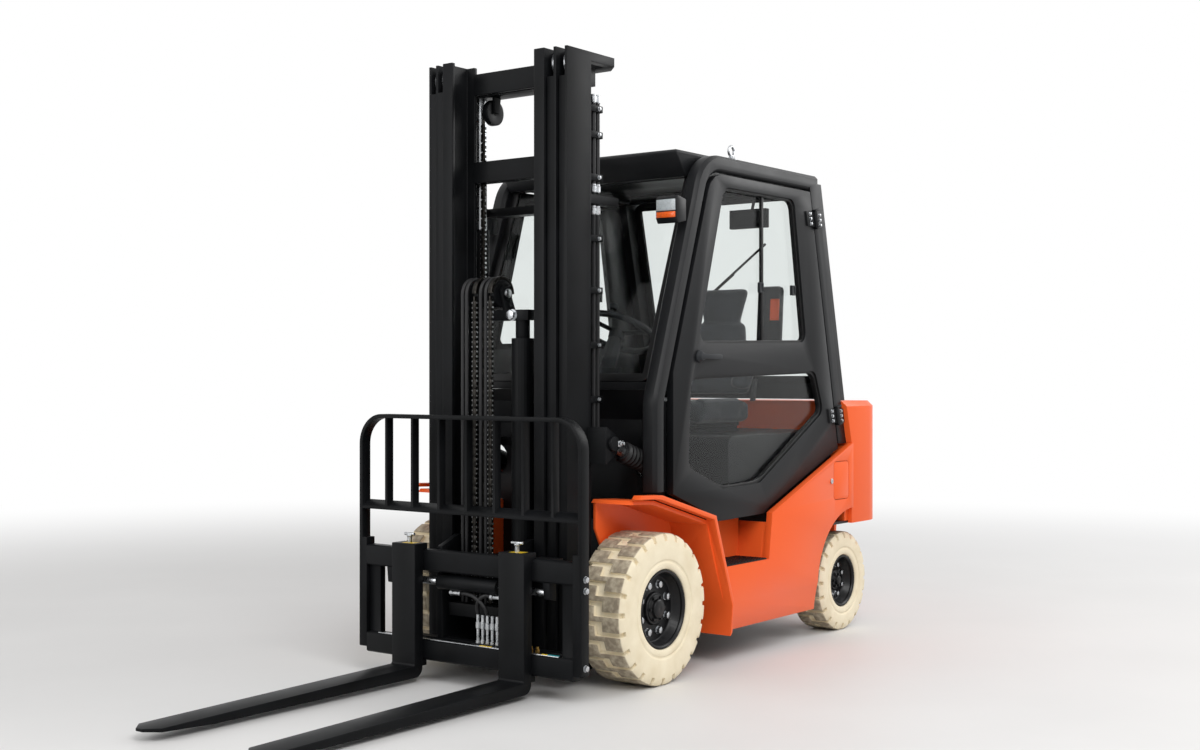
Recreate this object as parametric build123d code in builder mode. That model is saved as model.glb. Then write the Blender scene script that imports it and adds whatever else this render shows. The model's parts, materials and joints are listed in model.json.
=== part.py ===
"""Electric counterbalance forklift: glazed cab, triplex mast, sideshift carriage and forks.

Millimetres. +X is forward, +Y is the driver's left, +Z is up, the floor is z = 0.
Stations in x are given from the front axle and moved by AX, so the origin is mid-length.
"""

import os
from math import atan2, cos, sin, sqrt

from build123d import *

os.makedirs("parts", exist_ok=True)

# Overall layout
WHEELBASE = 1571.0
REAR_OVERHANG = 359.0
FORK_FACE = 538.0
FORK_LENGTH = 1220.0
REAR = -WHEELBASE
REAR_END = REAR - REAR_OVERHANG
FORK_TIP = FORK_FACE + FORK_LENGTH
AX = -(REAR_END + FORK_TIP) / 2
FIT = 0.3

# Wheels
FRONT_R = 292.0
FRONT_W = 212.0
FRONT_FACE_Y = 588.0
FRONT_RIM_R = 152.0
FRONT_HUB_R = 62.0
FRONT_LUGS = 24
REAR_R = 229.0
REAR_W = 164.0
REAR_FACE_Y = 526.0
REAR_RIM_R = 120.0
REAR_HUB_R = 46.0
REAR_LUGS = 20
LUG_DEPTH = 18.0
LUG_GAP = 15.0
LUG_SHARE = 0.34
RIM_INSET = 14.0
RIM_WALL = 24.0
DISH_DEPTH = 46.0
HUB_RISE = 16.0
FRONT_Y = FRONT_FACE_Y - FRONT_W / 2
REAR_Y = REAR_FACE_Y - REAR_W / 2

# Axles
AXLE_TUBE_R = 60.0
HANGER_R = 98.0
HANGER_IN = 302.0
HANGER_OUT = 346.0
KINGPIN_Y = 300.0
KINGPIN_R = 20.0
YOKE_R = 30.0
YOKE_Z = 62.0
YOKE_T = 22.0
YOKE_GAP = 6.0
BEAM_HALF = 34.0
BEAM_MID = 66.0
STUB_R = 34.0
SWEEP_R = 330.0

# Body
SKIN_OUT = 576.0
SKIN_T = 28.0
SKIN_IN = SKIN_OUT - SKIN_T
CREASE_Z = 263.0
TUCK = 26.0
WALL_Y = 410.0
WALL_T = 15.0
ARCH_Y = 358.0
ARCH_WALL = 10.0
ARCH_Z = 500.0
REAR_ARCH_R = 345.0
BODY_LOW = 140.0
FLOOR_Z = 600.0
FLOOR_T = 15.0
STEP_Z = 407.0
STEP_FRONT = -446.0
STEP_REAR = -800.0
PLATE = 12.0
BULKHEAD = -160.0
SILL_FRONT = -486.0
WALL_FRONT = -502.0
SHOULDER_Z = 602.0
PANEL_TOP = 871.0
FENDER_T = 14.0
FENDER_DROP = 22.0
FENDER_NOSE = 150.0
FENDER = [(FENDER_NOSE, 735), (18, 729), (-365, 623), (-434, 438), (-500, CREASE_Z), (SILL_FRONT, BODY_LOW)]
FLAP_REAR = REAR + 52.0
FLAP_WIDE = 140.0
FLAP_LOW = 621.0
FLAP_TALL = 170.0
FLAP_CORNER = 18.0
FLAP_T = 6.0
FLAP_GAP = 3.0
FLAP_PIN_R = 5.0
GUSSET = 38.0
ARCH_FRONT = REAR + REAR_ARCH_R
CW_FRONT = REAR
CW_LIP = CW_FRONT + 55.0
CW_TOP = 1066.0
CW_INSET = 10.0
CW_SIDE = SKIN_OUT - CW_INSET
CW_CORNER = 190.0
CW_EDGE = 24.0
CW_KEEL = 260.0
POCKET_Z = 420.0
POCKET_TALL = 90.0
POCKET_WIDE = 120.0
POCKET_DEEP = 70.0
PIN_R = 16.0
PIN_X = REAR_END + 35.0

# Seat deck, dash and seat
DECK_FRONT = -640.0
DECK_REAR = CW_FRONT + 20.0
DECK_TOP = 930.0
DECK_INSET = 78.0
DECK_Y = SKIN_IN - DECK_INSET
DECK_T = 16.0
BATTERY_Y = 385.0
BATTERY_TOP = 780.0
SEAT_FRONT = REAR + 781.0
SEAT_REAR = REAR + 331.0
SEAT_HALF = 245.0
SEAT_T = 110.0
SEAT_RAISE = 40.0
SEAT_ROUND = 45.0
COWL_T = 18.0
COWL_TOP = 1130.0
DASH_LOW = 860.0
DASH_HALF = 330.0
COLUMN_FOOT = (-300.0, 1000.0)
COLUMN_HEAD = (-500.0, 1370.0)
COLUMN_R = 42.0
WHEEL_R = 165.0
GRIP_R = 14.0
HUB_R = 36.0
HUB_DROP = 30.0

# Cab
CAB_GAP = 8.0
CAB_OUT = SKIN_IN - CAB_GAP
TUBE = 70.0
TUBE_EDGE = 14.0
TUBE_Y = CAB_OUT - TUBE / 2
TUBE_IN = CAB_OUT - TUBE
RAIL_Z = 2050.0
RAIL_DROP = 28.0
ROOF_SEAT = RAIL_Z + 10.0
ROOF_TOP = 2095.0
ROOF_HALF = TUBE_IN - 5.0
ROOF_REAR = REAR + 253.0
VISOR = -262.0
FASCIA_Z = 1992.0
FASCIA_T = 20.0
PILLAR_LEAN = 0.2325
PILLAR_WIDE = 107.0
PILLAR_TOP_REAR = REAR + 249.0
PILLAR_TOP_Z = 2049.0
PILLAR_DEEP = 62.0
PILLAR_Y = CAB_OUT - PILLAR_DEEP
BEND_R = 150.0
SILL_Z = 735.0
KNEE = (-38.0, 1085.0)
CROWN_X = -369.5
SCREEN_LOW = 1160.0
SCREEN_TOP = RAIL_Z - RAIL_DROP
REAR_SILL = 1075.0
REAR_SILL_T = 75.0
GLASS_T = 6.0
DOOR_PROUD = 2.0
DOOR_T = 30.0
DOOR_OUT = CAB_OUT + DOOR_PROUD
DOOR_IN = DOOR_OUT - DOOR_T
DOOR_GAP = 8.0
DOOR_TOP = 2007.0
DOOR_LOW = 592.0
DOOR_REAR_LOW = 850.0
GLASS_LAP = 16.0
LIGHT_CORNER = 45.0
HANDLE_X = -300.0
HANDLE_Z = 1262.0
HANDLE_LONG = 130.0
HINGE_LEVELS = (1000.0, 1885.0)
HINGE_OFF = 14.0
HINGE_Y = CAB_OUT + HINGE_OFF
HINGE_R = 10.0
HINGE_HALF = 36.0
HINGE_TAB = 8.0
HINGE_TAB_LONG = 42.0
LEAF_T = 8.0
LEAF_WIDE = 72.0
LAMP_X = -150.0
LAMP_DEEP = 70.0
LAMP_HALF = 50.0
LAMP_INSET = 50.0
LAMP_Y = CAB_OUT - LAMP_INSET
LAMP_LOW = 1785.0
LAMP_TOP = 1895.0
EYE_X = REAR + 959.0
EYE_R = 26.0
EYE_BORE = 15.0
EYE_T = 14.0
EYE_FOOT = 10.0

# Mast
MAST_TOP = 2425.0
MAST_FOOT = 62.0
STAGE_STEP = 8.0
RAIL_DEPTH = 150.0
RAIL_WEB = 12.0
RAIL_FLANGE = 18.0
OUTER_X = 156.0
MIDDLE_X = 166.0
INNER_X = 178.0
OUTER_Y = 352.0
MIDDLE_Y = 306.0
INNER_Y = 258.0
OUTER_LIP = 312.0
MIDDLE_LIP = 264.0
INNER_LIP = 208.0
NOTCH = 110.0
ROLLER_R = RAIL_DEPTH / 2 - RAIL_FLANGE - 1
TIE_T = 34.0
TIE_BACK = 70.0
TIE_CORNER = 60.0
TIES = ((MAST_TOP - TIE_T, -54.0), (MAST_TOP - 579.0, -82.0), (900.0, -30.0))
FOOT_TALL = 70.0
CROSS_T = 85.0
CROSS_HIGH = MAST_TOP - 113.0
CROSS_MID = MAST_TOP - 467.0
CROSS_LOW = MAST_TOP - 1425.0
PAD_LOW = 120.0
PAD_HIGH = 200.0
LIFT_X = 104.0
LIFT_Y = 255.0
LIFT_R = 36.0
LIFT_ROD_R = 26.0
LIFT_FOOT = MAST_FOOT + FOOT_TALL
LIFT_TOP = MAST_TOP - 645.0
HEAD_Z = MAST_TOP - 115.0
HEAD_TALL = 70.0
TURN_SIDES = 24
FREE_X = 252.0
FREE_Y = 92.0
FREE_R = 44.0
FREE_ROD_R = 28.0
FREE_FOOT = MAST_FOOT + 60.0
FREE_TOP = MAST_TOP - 1095.0
CROSSHEAD_Z = FREE_TOP + 70.0
CROSSHEAD_T = 40.0
SHEAVE_X = 280.0
SHEAVE_Z = MAST_TOP - 920.0
SHEAVE_R = 62.0
SHEAVE_T = 20.0
SHEAVE_PITCH = 27.0
CHAIN_MID = -35.0
CHAIN_T = 14.0
CHAIN_W = 20.0
CHAIN_LINK = 38.0
CHAIN_WAIST = 3.0
MAST_SHEAVE_R = 52.0
MAST_SHEAVE_X = 106.0
MAST_SHEAVE_Y = 185.0
MAST_CHAIN_X = MAST_SHEAVE_X + MAST_SHEAVE_R + CHAIN_T / 2 + FIT
ANCHOR_Z = 300.0
HOSE_R = 9.0
HOSE_X = 118.0
HOSE_Y = 334.0
HOSE_PITCH = 26.0

# Carriage, sideshift frame and forks
CARRIAGE_IN = 172.0
CARRIAGE_OUT = 196.0
CARRIAGE_X = (385.0, 425.0)
CARRIAGE_HALF = 440.0
CARRIAGE_ROLLER_R = 52.0
CARRIAGE_ROLLERS = (200.0, 480.0)
BAR_REAR = 445.0
BAR_FRONT = 490.0
BAR_HALF = 520.0
UPPER_BAR = (430.0, 512.0)
LOWER_BAR = (85.0, 165.0)
BAR_LAP = 10.0
SHOE_IN = 302.0
SHOE_OUT = 402.0
SHIFT_X = BAR_REAR + 13.0
SHIFT_Z = 390.0
SHIFT_R = 30.0
SHIFT_ROD_R = 14.0
GUARD_HALF = 560.0
GUARD_TOP = 1033.0
GUARD_MID = 655.0
GUARD_LOW = 105.0
GUARD_BAR = 16.0
GUARD_CORNER = 120.0
GUARD_FOOT = 540.0
GUARD_STEPS = 8
MID_RUN = 34.0
MID_RISE = 34.0
UPRIGHT = 12.0
FORK_Y = 272.0
FORK_W = 122.0
FORK_T = 45.0
FORK_Z = 20.0
FORK_HEAD = 536.0
FORK_TAPER = 250.0
FORK_NOSE = 10.0
HEEL_R = 40.0

# Tilt cylinders
TILT_Y = 400.0
TILT_PIN = (130.0, 925.0)
TILT_ANCHOR = (-330.0, 775.0)
TILT_R = 44.0
TILT_ROD_R = 20.0
TILT_PIN_R = 14.0
TILT_EYE_R = 30.0
TILT_EYE_T = 32.0
EYE_SLACK = 1.6
TILT_SLEEVE = (36.0, 372.0)
TILT_BORE = 60.0
TILT_INSERT = 140.0
LUG_T = 14.0
TILT_LONG = sqrt((TILT_PIN[0] - TILT_ANCHOR[0]) ** 2 + (TILT_PIN[1] - TILT_ANCHOR[1]) ** 2)
TILT_ANGLE = atan2(TILT_PIN[1] - TILT_ANCHOR[1], TILT_PIN[0] - TILT_ANCHOR[0])
SIDES = (("left", 1), ("right", -1))


def save(part, name):
    part.label = name
    export_step(part, f"parts/{name}.step")


def slab(points, y_low, y_high, mode=Mode.ADD):
    """A plate with its outline seen from the side, stations from the front axle."""
    with BuildSketch(Plane.XZ.offset(-y_high)) as outline:
        with BuildLine():
            Polyline(*[(AX + x, z) for x, z in points], close=True)
        make_face()
    extrude(outline.sketch, amount=y_high - y_low, mode=mode)


def plan(points, z_low, z_high, mode=Mode.ADD):
    """A plate with its outline seen from above, stations from the front axle."""
    with BuildSketch(Plane.XY.offset(z_low)) as outline:
        with BuildLine():
            Polyline(*[(AX + x, y) for x, y in points], close=True)
        make_face()
    extrude(outline.sketch, amount=z_high - z_low, mode=mode)


def block(x0, x1, y0, y1, z0, z1, mode=Mode.ADD):
    with Locations((AX + (x0 + x1) / 2, (y0 + y1) / 2, (z0 + z1) / 2)):
        Box(x1 - x0, abs(y1 - y0), z1 - z0, mode=mode)


def post(x, y, z0, z1, radius, mode=Mode.ADD):
    with BuildSketch(Plane.XY.offset(z0)) as round_face:
        with Locations((AX + x, y)):
            Circle(radius)
    extrude(round_face.sketch, amount=z1 - z0, mode=mode)


def pipe(x, y, z0, z1, radius, mode=Mode.ADD):
    """An upright of many flats, for what is mostly hidden."""
    with BuildSketch(Plane.XY.offset(z0)) as many_sided:
        with Locations((AX + x, y)):
            RegularPolygon(radius, TURN_SIDES)
    extrude(many_sided.sketch, amount=z1 - z0, mode=mode)


def shaft(x, z, y0, y1, radius, mode=Mode.ADD):
    with BuildSketch(Plane.XZ.offset(-max(y0, y1))) as round_face:
        with Locations((AX + x, z)):
            Circle(radius)
    extrude(round_face.sketch, amount=abs(y1 - y0), mode=mode)


def both(inner, outer):
    """The span between two distances from the centre plane, on the right and on the left."""
    return ((-outer, -inner), (inner, outer))


# Wheels
def tyre(x, y, z, width, radius, bore, lugs):
    """Solid tyre with flat lug faces and open shoulder slots, staggered side to side."""
    slot = width * LUG_SHARE
    with BuildPart() as body:
        with BuildSketch(Plane.XZ.offset(-(y + width / 2))):
            with Locations((x, z)):
                RegularPolygon(radius, 2 * lugs)
                Circle(bore, mode=Mode.SUBTRACT)
        extrude(amount=width)
        for side, turn in ((-1, 0.5), (1, 1.5)):
            middle = y + side * (width / 2 - slot / 2 + 0.5)
            with Locations(Plane((x, middle, z), x_dir=(1, 0, 0), z_dir=(0, 1, 0))):
                with PolarLocations(radius - LUG_DEPTH / 2 + 1, lugs, start_angle=turn * 180 / lugs):
                    Box(LUG_DEPTH + 2, LUG_GAP, slot + 1, mode=Mode.SUBTRACT)
    return body.part


def rim_face(width):
    """How far a rim's outer and inner edges lie from the middle of its tyre."""
    return width / 2 - RIM_INSET


def rim(x, y, z, side, width, bore, hub):
    """Dished wheel disc and hub boss, one turned outline."""
    edge = rim_face(width)
    dish = edge - DISH_DEPTH
    outline = [(-edge, 0), (-edge, bore - FIT), (edge, bore - FIT), (dish, bore - RIM_WALL), (dish, hub),
               (dish + HUB_RISE, hub), (dish + HUB_RISE, 0)]
    with BuildPart() as body:
        with BuildSketch(Plane.YZ.offset(x)):
            with BuildLine():
                Polyline(*[(y + side * a, z + r) for a, r in outline], close=True)
            make_face()
        revolve(axis=Axis((x, 0, z), (0, 1, 0)))
    return body.part


for side_name, side in SIDES:
    save(
        tyre(AX, side * FRONT_Y, FRONT_R, FRONT_W, FRONT_R, FRONT_RIM_R, FRONT_LUGS),
        f"tyre_front_{side_name}",
    )
    save(
        rim(AX, side * FRONT_Y, FRONT_R, side, FRONT_W, FRONT_RIM_R, FRONT_HUB_R),
        f"rim_front_{side_name}",
    )
    save(
        tyre(AX + REAR, side * REAR_Y, REAR_R, REAR_W, REAR_R, REAR_RIM_R, REAR_LUGS),
        f"tyre_rear_{side_name}",
    )
    save(
        rim(AX + REAR, side * REAR_Y, REAR_R, side, REAR_W, REAR_RIM_R, REAR_HUB_R),
        f"rim_rear_{side_name}",
    )

# Drive axle: tube to the wheel flanges, tapered gear case and the clamps to the bulkhead
with BuildPart() as drive_axle:
    flange = FRONT_Y - rim_face(FRONT_W) - FIT
    shaft(0, FRONT_R, -flange, flange, AXLE_TUBE_R)
    with BuildSketch(Plane.XZ) as case_middle:
        with Locations((AX, FRONT_R)):
            RegularPolygon(130, 8, rotation=22.5)
    extrude(amount=140, both=True, taper=12)
    for low, high in both(190, 250):
        slab([(0, FRONT_R - 80), (BULKHEAD, FRONT_R - 110), (BULKHEAD, FRONT_R + 110), (0, FRONT_R + 80)],
             low, high)
save(drive_axle.part, "drive_axle")

# Steer axle: tapered beam, end yokes and the centre mount under the frame
with BuildPart() as steer_axle:
    beam_end = KINGPIN_Y - YOKE_R - YOKE_GAP
    plan([(REAR - BEAM_MID, -110), (REAR - BEAM_MID, 110), (REAR - BEAM_HALF, beam_end),
          (REAR + BEAM_HALF, beam_end), (REAR + BEAM_MID, 110), (REAR + BEAM_MID, -110),
          (REAR + BEAM_HALF, -beam_end), (REAR - BEAM_HALF, -beam_end)],
         REAR_R - YOKE_Z - YOKE_T, REAR_R + YOKE_Z + YOKE_T)
    for side in (-1, 1):
        for level in (REAR_R - YOKE_Z - YOKE_T, REAR_R + YOKE_Z):
            tip = KINGPIN_Y + YOKE_R
            plan([(REAR - YOKE_R, side * (beam_end - YOKE_GAP)), (REAR - YOKE_R, side * (tip - PLATE)),
                  (REAR - YOKE_R + PLATE, side * tip), (REAR + YOKE_R - PLATE, side * tip),
                  (REAR + YOKE_R, side * (tip - PLATE)), (REAR + YOKE_R, side * (beam_end - YOKE_GAP))],
                 level, level + YOKE_T)
            post(REAR, side * KINGPIN_Y, level, level + YOKE_T, KINGPIN_R + FIT, Mode.SUBTRACT)
    slab([(REAR - BEAM_MID, REAR_R), (REAR - 90, ARCH_Z), (REAR + 90, ARCH_Z), (REAR + BEAM_MID, REAR_R)], -75, 75)
save(steer_axle.part, "steer_axle")


# Steering knuckles: kingpin, boss and stub to the wheel flange
def knuckle(side):
    with BuildPart() as body:
        post(REAR, side * KINGPIN_Y, REAR_R - YOKE_Z - YOKE_T, REAR_R + YOKE_Z + YOKE_T, KINGPIN_R)
        with BuildSketch(Plane.XY.offset(REAR_R - YOKE_Z + 2)):
            with Locations((AX + REAR, side * KINGPIN_Y)):
                RegularPolygon(YOKE_R, 8)
        extrude(amount=2 * (YOKE_Z - 2))
        shaft(REAR, REAR_R, side * KINGPIN_Y, side * (REAR_Y - rim_face(REAR_W) - FIT), STUB_R)
    return body.part


for side_name, side in SIDES:
    save(knuckle(side), f"knuckle_{side_name}")

# Chassis weldment: bulkhead, floor, battery tray, side walls and rear deck plate
with BuildPart() as chassis_frame:
    slab([(BULKHEAD, BODY_LOW), (BULKHEAD, FLOOR_Z), (DECK_FRONT, FLOOR_Z), (DECK_FRONT, FLOOR_Z - FLOOR_T),
          (BULKHEAD - PLATE, FLOOR_Z - FLOOR_T), (BULKHEAD - PLATE, BODY_LOW + FLOOR_T),
          (ARCH_FRONT + PLATE, BODY_LOW + FLOOR_T), (ARCH_FRONT + PLATE, ARCH_Z), (ARCH_FRONT, ARCH_Z),
          (ARCH_FRONT, BODY_LOW)], -ARCH_Y, ARCH_Y)
    block(CW_FRONT, ARCH_FRONT + PLATE, -SKIN_IN, SKIN_IN, ARCH_Z, ARCH_Z + PLATE)
    block(DECK_FRONT, STEP_FRONT, -DOOR_IN + DOOR_GAP, DOOR_IN - DOOR_GAP, FLOOR_Z - FLOOR_T, FLOOR_Z)
    for low, high in both(WALL_Y - WALL_T, WALL_Y):
        block(ARCH_FRONT, WALL_FRONT, low, high, BODY_LOW, FLOOR_Z - FLOOR_T)
    for low, high in both(ARCH_Y, WALL_Y):
        block(ARCH_FRONT, WALL_FRONT, low, high, BODY_LOW, BODY_LOW + FLOOR_T)
save(chassis_frame.part, "chassis_frame")


# Orange side panels: folded skin trimmed to its outline, fender, step well and pillar foot
def side_panel(side):
    skin = [(SILL_FRONT, BODY_LOW), (-500, CREASE_Z), (STEP_FRONT, STEP_Z), (STEP_REAR, STEP_Z),
            (STEP_REAR - 28, SHOULDER_Z), (CW_FRONT + 12, PANEL_TOP), (CW_FRONT + 2, PANEL_TOP),
            (CW_FRONT + 2, BODY_LOW)]
    arch = [(FENDER_NOSE, 708), (18, 703), (-365, 596), (-425, 430), (FENDER_NOSE - 90, 430),
            (FENDER_NOSE, 600)]
    liner = [(x, z - FENDER_DROP) for x, z in FENDER[:4]] + FENDER[4:]
    with BuildPart() as body:
        with BuildSketch(Plane.YZ.offset(AX + CW_FRONT + 2)):
            with BuildLine():
                Polyline((SKIN_IN, PANEL_TOP), (SKIN_OUT, PANEL_TOP), (SKIN_OUT, CREASE_Z),
                         (SKIN_OUT - TUCK, BODY_LOW), (SKIN_IN - TUCK, BODY_LOW), (SKIN_IN, CREASE_Z), close=True)
            make_face()
        extrude(amount=STEP_FRONT - CW_FRONT - 2)
        slab(skin, ARCH_Y, FRONT_FACE_Y, Mode.INTERSECT)
        shaft(REAR, REAR_R, ARCH_Y, FRONT_FACE_Y, REAR_ARCH_R, Mode.SUBTRACT)
        if side > 0:
            with BuildSketch(Plane.XZ.offset(-SKIN_OUT)):
                with Locations((AX + FLAP_REAR + FLAP_WIDE / 2, FLAP_LOW + FLAP_TALL / 2)):
                    RectangleRounded(FLAP_WIDE + 2 * FLAP_GAP, FLAP_TALL + 2 * FLAP_GAP, FLAP_CORNER + FLAP_GAP)
            extrude(amount=SKIN_OUT - SKIN_IN, mode=Mode.SUBTRACT)
        slab(FENDER + [(x + FENDER_T, z - FENDER_T) for x, z in reversed(FENDER)], SKIN_IN, FRONT_FACE_Y)
        slab(liner + [(x + FENDER_T, z - FENDER_T) for x, z in reversed(liner)], ARCH_Y, SKIN_IN)
        slab(arch, ARCH_Y, ARCH_Y + ARCH_WALL)
        block(STEP_REAR - PLATE, STEP_FRONT, WALL_Y, SKIN_OUT - 1, STEP_Z - PLATE, STEP_Z)
        block(STEP_REAR - PLATE, STEP_FRONT, WALL_Y, WALL_Y + 6, STEP_Z, FLOOR_Z - FLOOR_T)
        slab([(STEP_REAR - PLATE, BODY_LOW), (STEP_REAR, BODY_LOW), (STEP_REAR, STEP_Z), (STEP_REAR - 24, 560),
              (STEP_REAR - 36, 560), (STEP_REAR - PLATE, STEP_Z)], WALL_Y, SKIN_IN - TUCK + PLATE)
        slab([(STEP_REAR, STEP_Z - PLATE), (STEP_REAR - 24, 560), (STEP_REAR - 36, 560),
              (STEP_REAR - PLATE, STEP_Z - PLATE)], WALL_Y, SKIN_IN + 1)
        block(CW_FRONT + 2, CW_FRONT + GUSSET, PILLAR_Y, SKIN_IN, ARCH_Z + PLATE, PANEL_TOP - PLATE)
        if side < 0:
            mirror(about=Plane.XZ, mode=Mode.REPLACE)
    return body.part


for side_name, side in SIDES:
    save(side_panel(side), f"side_panel_{side_name}")

# Charging flap, turning on a spindle along its rear edge
with BuildPart() as charge_flap:
    with BuildSketch(Plane.XZ.offset(-SKIN_OUT)):
        with Locations((AX + FLAP_REAR + FLAP_WIDE / 2, FLAP_LOW + FLAP_TALL / 2)):
            RectangleRounded(FLAP_WIDE, FLAP_TALL, FLAP_CORNER)
    extrude(amount=FLAP_T)
    spindle_x = FLAP_REAR + FLAP_CORNER + FLAP_PIN_R
    post(spindle_x, SKIN_OUT - FLAP_T - FLAP_PIN_R + 2, FLAP_LOW - FLAP_GAP + FIT,
         FLAP_LOW + FLAP_TALL + FLAP_GAP - FIT, FLAP_PIN_R)
save(charge_flap.part, "charge_flap")

# Counterweight casting: rounded plan, side profile, wheel clearance and a drawbar pocket
with BuildPart() as counterweight:
    with BuildSketch(Plane.XY.offset(CW_KEEL)) as cast_plan:
        with BuildLine():
            Polyline((AX + CW_LIP, -CW_SIDE), (AX + REAR_END, -CW_SIDE), (AX + REAR_END, CW_SIDE),
                     (AX + CW_LIP, CW_SIDE), close=True)
        make_face()
        fillet(cast_plan.vertices().group_by(Axis.X)[0], CW_CORNER)
    extrude(amount=CW_TOP - CW_KEEL)
    slab([(CW_FRONT, CW_KEEL), (CW_FRONT, PANEL_TOP), (CW_LIP, CW_TOP), (REAR_END + 60, CW_TOP),
          (REAR_END, CW_TOP - 210), (REAR_END, ARCH_Z), (REAR_END + 30, CW_KEEL)],
         -CW_SIDE, CW_SIDE, Mode.INTERSECT)
    top_edges = counterweight.faces().sort_by(Axis.Z)[-1].edges()
    chamfer(top_edges.sort_by(Axis.X)[:-1], CW_EDGE)
    for side in (-1, 1):
        post(REAR, side * KINGPIN_Y, CW_KEEL, ARCH_Z, SWEEP_R, Mode.SUBTRACT)
        block(REAR_END - 1, CW_FRONT + 1, side * KINGPIN_Y, side * (CW_SIDE + 1), CW_KEEL, ARCH_Z, Mode.SUBTRACT)
    block(REAR_END - 1, REAR_END + POCKET_DEEP, -POCKET_WIDE / 2, POCKET_WIDE / 2, POCKET_Z - POCKET_TALL / 2,
          POCKET_Z + POCKET_TALL / 2, Mode.SUBTRACT)
    post(PIN_X, 0, CW_KEEL, POCKET_Z + POCKET_TALL / 2 + 60, PIN_R + FIT, Mode.SUBTRACT)
save(counterweight.part, "counterweight")

with BuildPart() as drawbar_pin:
    post(PIN_X, 0, CW_KEEL + 20, POCKET_Z + POCKET_TALL / 2 + 60, PIN_R)
save(drawbar_pin.part, "drawbar_pin")

# Traction battery, one plain block on the tray
with BuildPart() as battery:
    block(ARCH_FRONT + PLATE + 5, DECK_FRONT - 25, -BATTERY_Y, BATTERY_Y, BODY_LOW + FLOOR_T, BATTERY_TOP)
save(battery.part, "battery")

# Seat deck, an open-bottomed hood over the battery
with BuildPart() as seat_deck:
    block(DECK_REAR, DECK_FRONT, -DECK_Y, DECK_Y, FLOOR_Z, DECK_TOP)
    fillet(seat_deck.edges().filter_by(Axis.Y).sort_by(Axis.Z)[-2:].sort_by(Axis.X)[-1], 40)
    offset(amount=-DECK_T, openings=seat_deck.faces().sort_by(Axis.Z)[0])
    block(DECK_REAR, DECK_REAR + DECK_T, -DECK_Y, DECK_Y, ARCH_Z + PLATE, FLOOR_Z)
save(seat_deck.part, "seat_deck")

# Cab front wall under the windscreen, with an opening for each tilt cylinder
with BuildPart() as front_cowl:
    for foot, half in ((FLOOR_Z, ARCH_Y), (SILL_Z - 73, TUBE_IN - 2)):
        slab([(BULKHEAD, foot), (BULKHEAD, 1010), (-66, COWL_TOP), (-86, COWL_TOP), (BULKHEAD - COWL_T, 1014),
              (BULKHEAD - COWL_T, foot)], -half, half)
    hole_z = TILT_ANCHOR[1] + (BULKHEAD - TILT_ANCHOR[0]) * sin(TILT_ANGLE) / cos(TILT_ANGLE)
    with BuildSketch(Plane.YZ.offset(AX + BULKHEAD + 1)):
        with Locations((-TILT_Y, hole_z), (TILT_Y, hole_z)):
            RegularPolygon(TILT_R + 22, TURN_SIDES)
    extrude(amount=-2 * COWL_T, mode=Mode.SUBTRACT)
save(front_cowl.part, "front_cowl")

# Dash console and steering column
COLUMN_ANGLE = atan2(COLUMN_HEAD[1] - COLUMN_FOOT[1], COLUMN_HEAD[0] - COLUMN_FOOT[0])
COLUMN_DIR = (cos(COLUMN_ANGLE), 0, sin(COLUMN_ANGLE))
COLUMN_LEN = sqrt((COLUMN_HEAD[0] - COLUMN_FOOT[0]) ** 2 + (COLUMN_HEAD[1] - COLUMN_FOOT[1]) ** 2)
column_foot = Plane((AX + COLUMN_FOOT[0], 0, COLUMN_FOOT[1]), x_dir=(0, 1, 0), z_dir=COLUMN_DIR)
column_head = Plane((AX + COLUMN_HEAD[0], 0, COLUMN_HEAD[1]), x_dir=(0, 1, 0), z_dir=COLUMN_DIR)
with BuildPart() as dash_console:
    slab([(BULKHEAD - COWL_T, DASH_LOW), (BULKHEAD - COWL_T, 1014), (-86, COWL_TOP), (-250, COWL_TOP), (-360, 1020),
          (-330, DASH_LOW)], -DASH_HALF, DASH_HALF)
    fillet(dash_console.edges().filter_by(Axis.Y).sort_by(Axis.X)[:3], 30)
    with BuildSketch(column_foot):
        RegularPolygon(COLUMN_R + 18, 8)
    extrude(amount=COLUMN_LEN - HUB_DROP - FIT, taper=4)
save(dash_console.part, "dash_console")

with BuildPart() as steering_wheel:
    with BuildSketch(Plane(column_head.origin, x_dir=(0, 1, 0), z_dir=(-sin(COLUMN_ANGLE), 0, cos(COLUMN_ANGLE)))):
        with Locations((WHEEL_R, 0)):
            RegularPolygon(GRIP_R, 6)
    revolve(axis=Axis(column_head.origin, COLUMN_DIR))
    with BuildSketch(column_head.offset(-HUB_DROP)):
        Circle(HUB_R)
    extrude(amount=HUB_DROP + 8)
    with BuildSketch(column_head.offset(-6)):
        with PolarLocations(WHEEL_R / 2, 3, start_angle=90):
            Rectangle(WHEEL_R - 10, 30)
    extrude(amount=10)
save(steering_wheel.part, "steering_wheel")

# Seat on its suspension base
with BuildPart() as seat_cushion:
    block(SEAT_REAR, SEAT_FRONT, -SEAT_HALF, SEAT_HALF, DECK_TOP + SEAT_RAISE, DECK_TOP + SEAT_RAISE + SEAT_T)
    fillet(seat_cushion.edges().filter_by(Axis.Z), SEAT_ROUND)
    block(SEAT_REAR + 40, SEAT_FRONT - 50, -180, 180, DECK_TOP, DECK_TOP + SEAT_RAISE)
save(seat_cushion.part, "seat_cushion")

with BuildPart() as seat_back:
    seat_top = DECK_TOP + SEAT_RAISE + SEAT_T + FIT
    slab([(SEAT_REAR + 70, seat_top), (SEAT_REAR - 22, seat_top), (SEAT_REAR - 150, 1440), (SEAT_REAR - 90, 1452),
          (SEAT_REAR - 10, 1330)], -230, 230)
    slab([(SEAT_REAR - 85, 1430), (SEAT_REAR - 132, 1430), (SEAT_REAR - 144, 1610), (SEAT_REAR - 82, 1612)],
         -125, 125)
save(seat_back.part, "seat_back")


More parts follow.
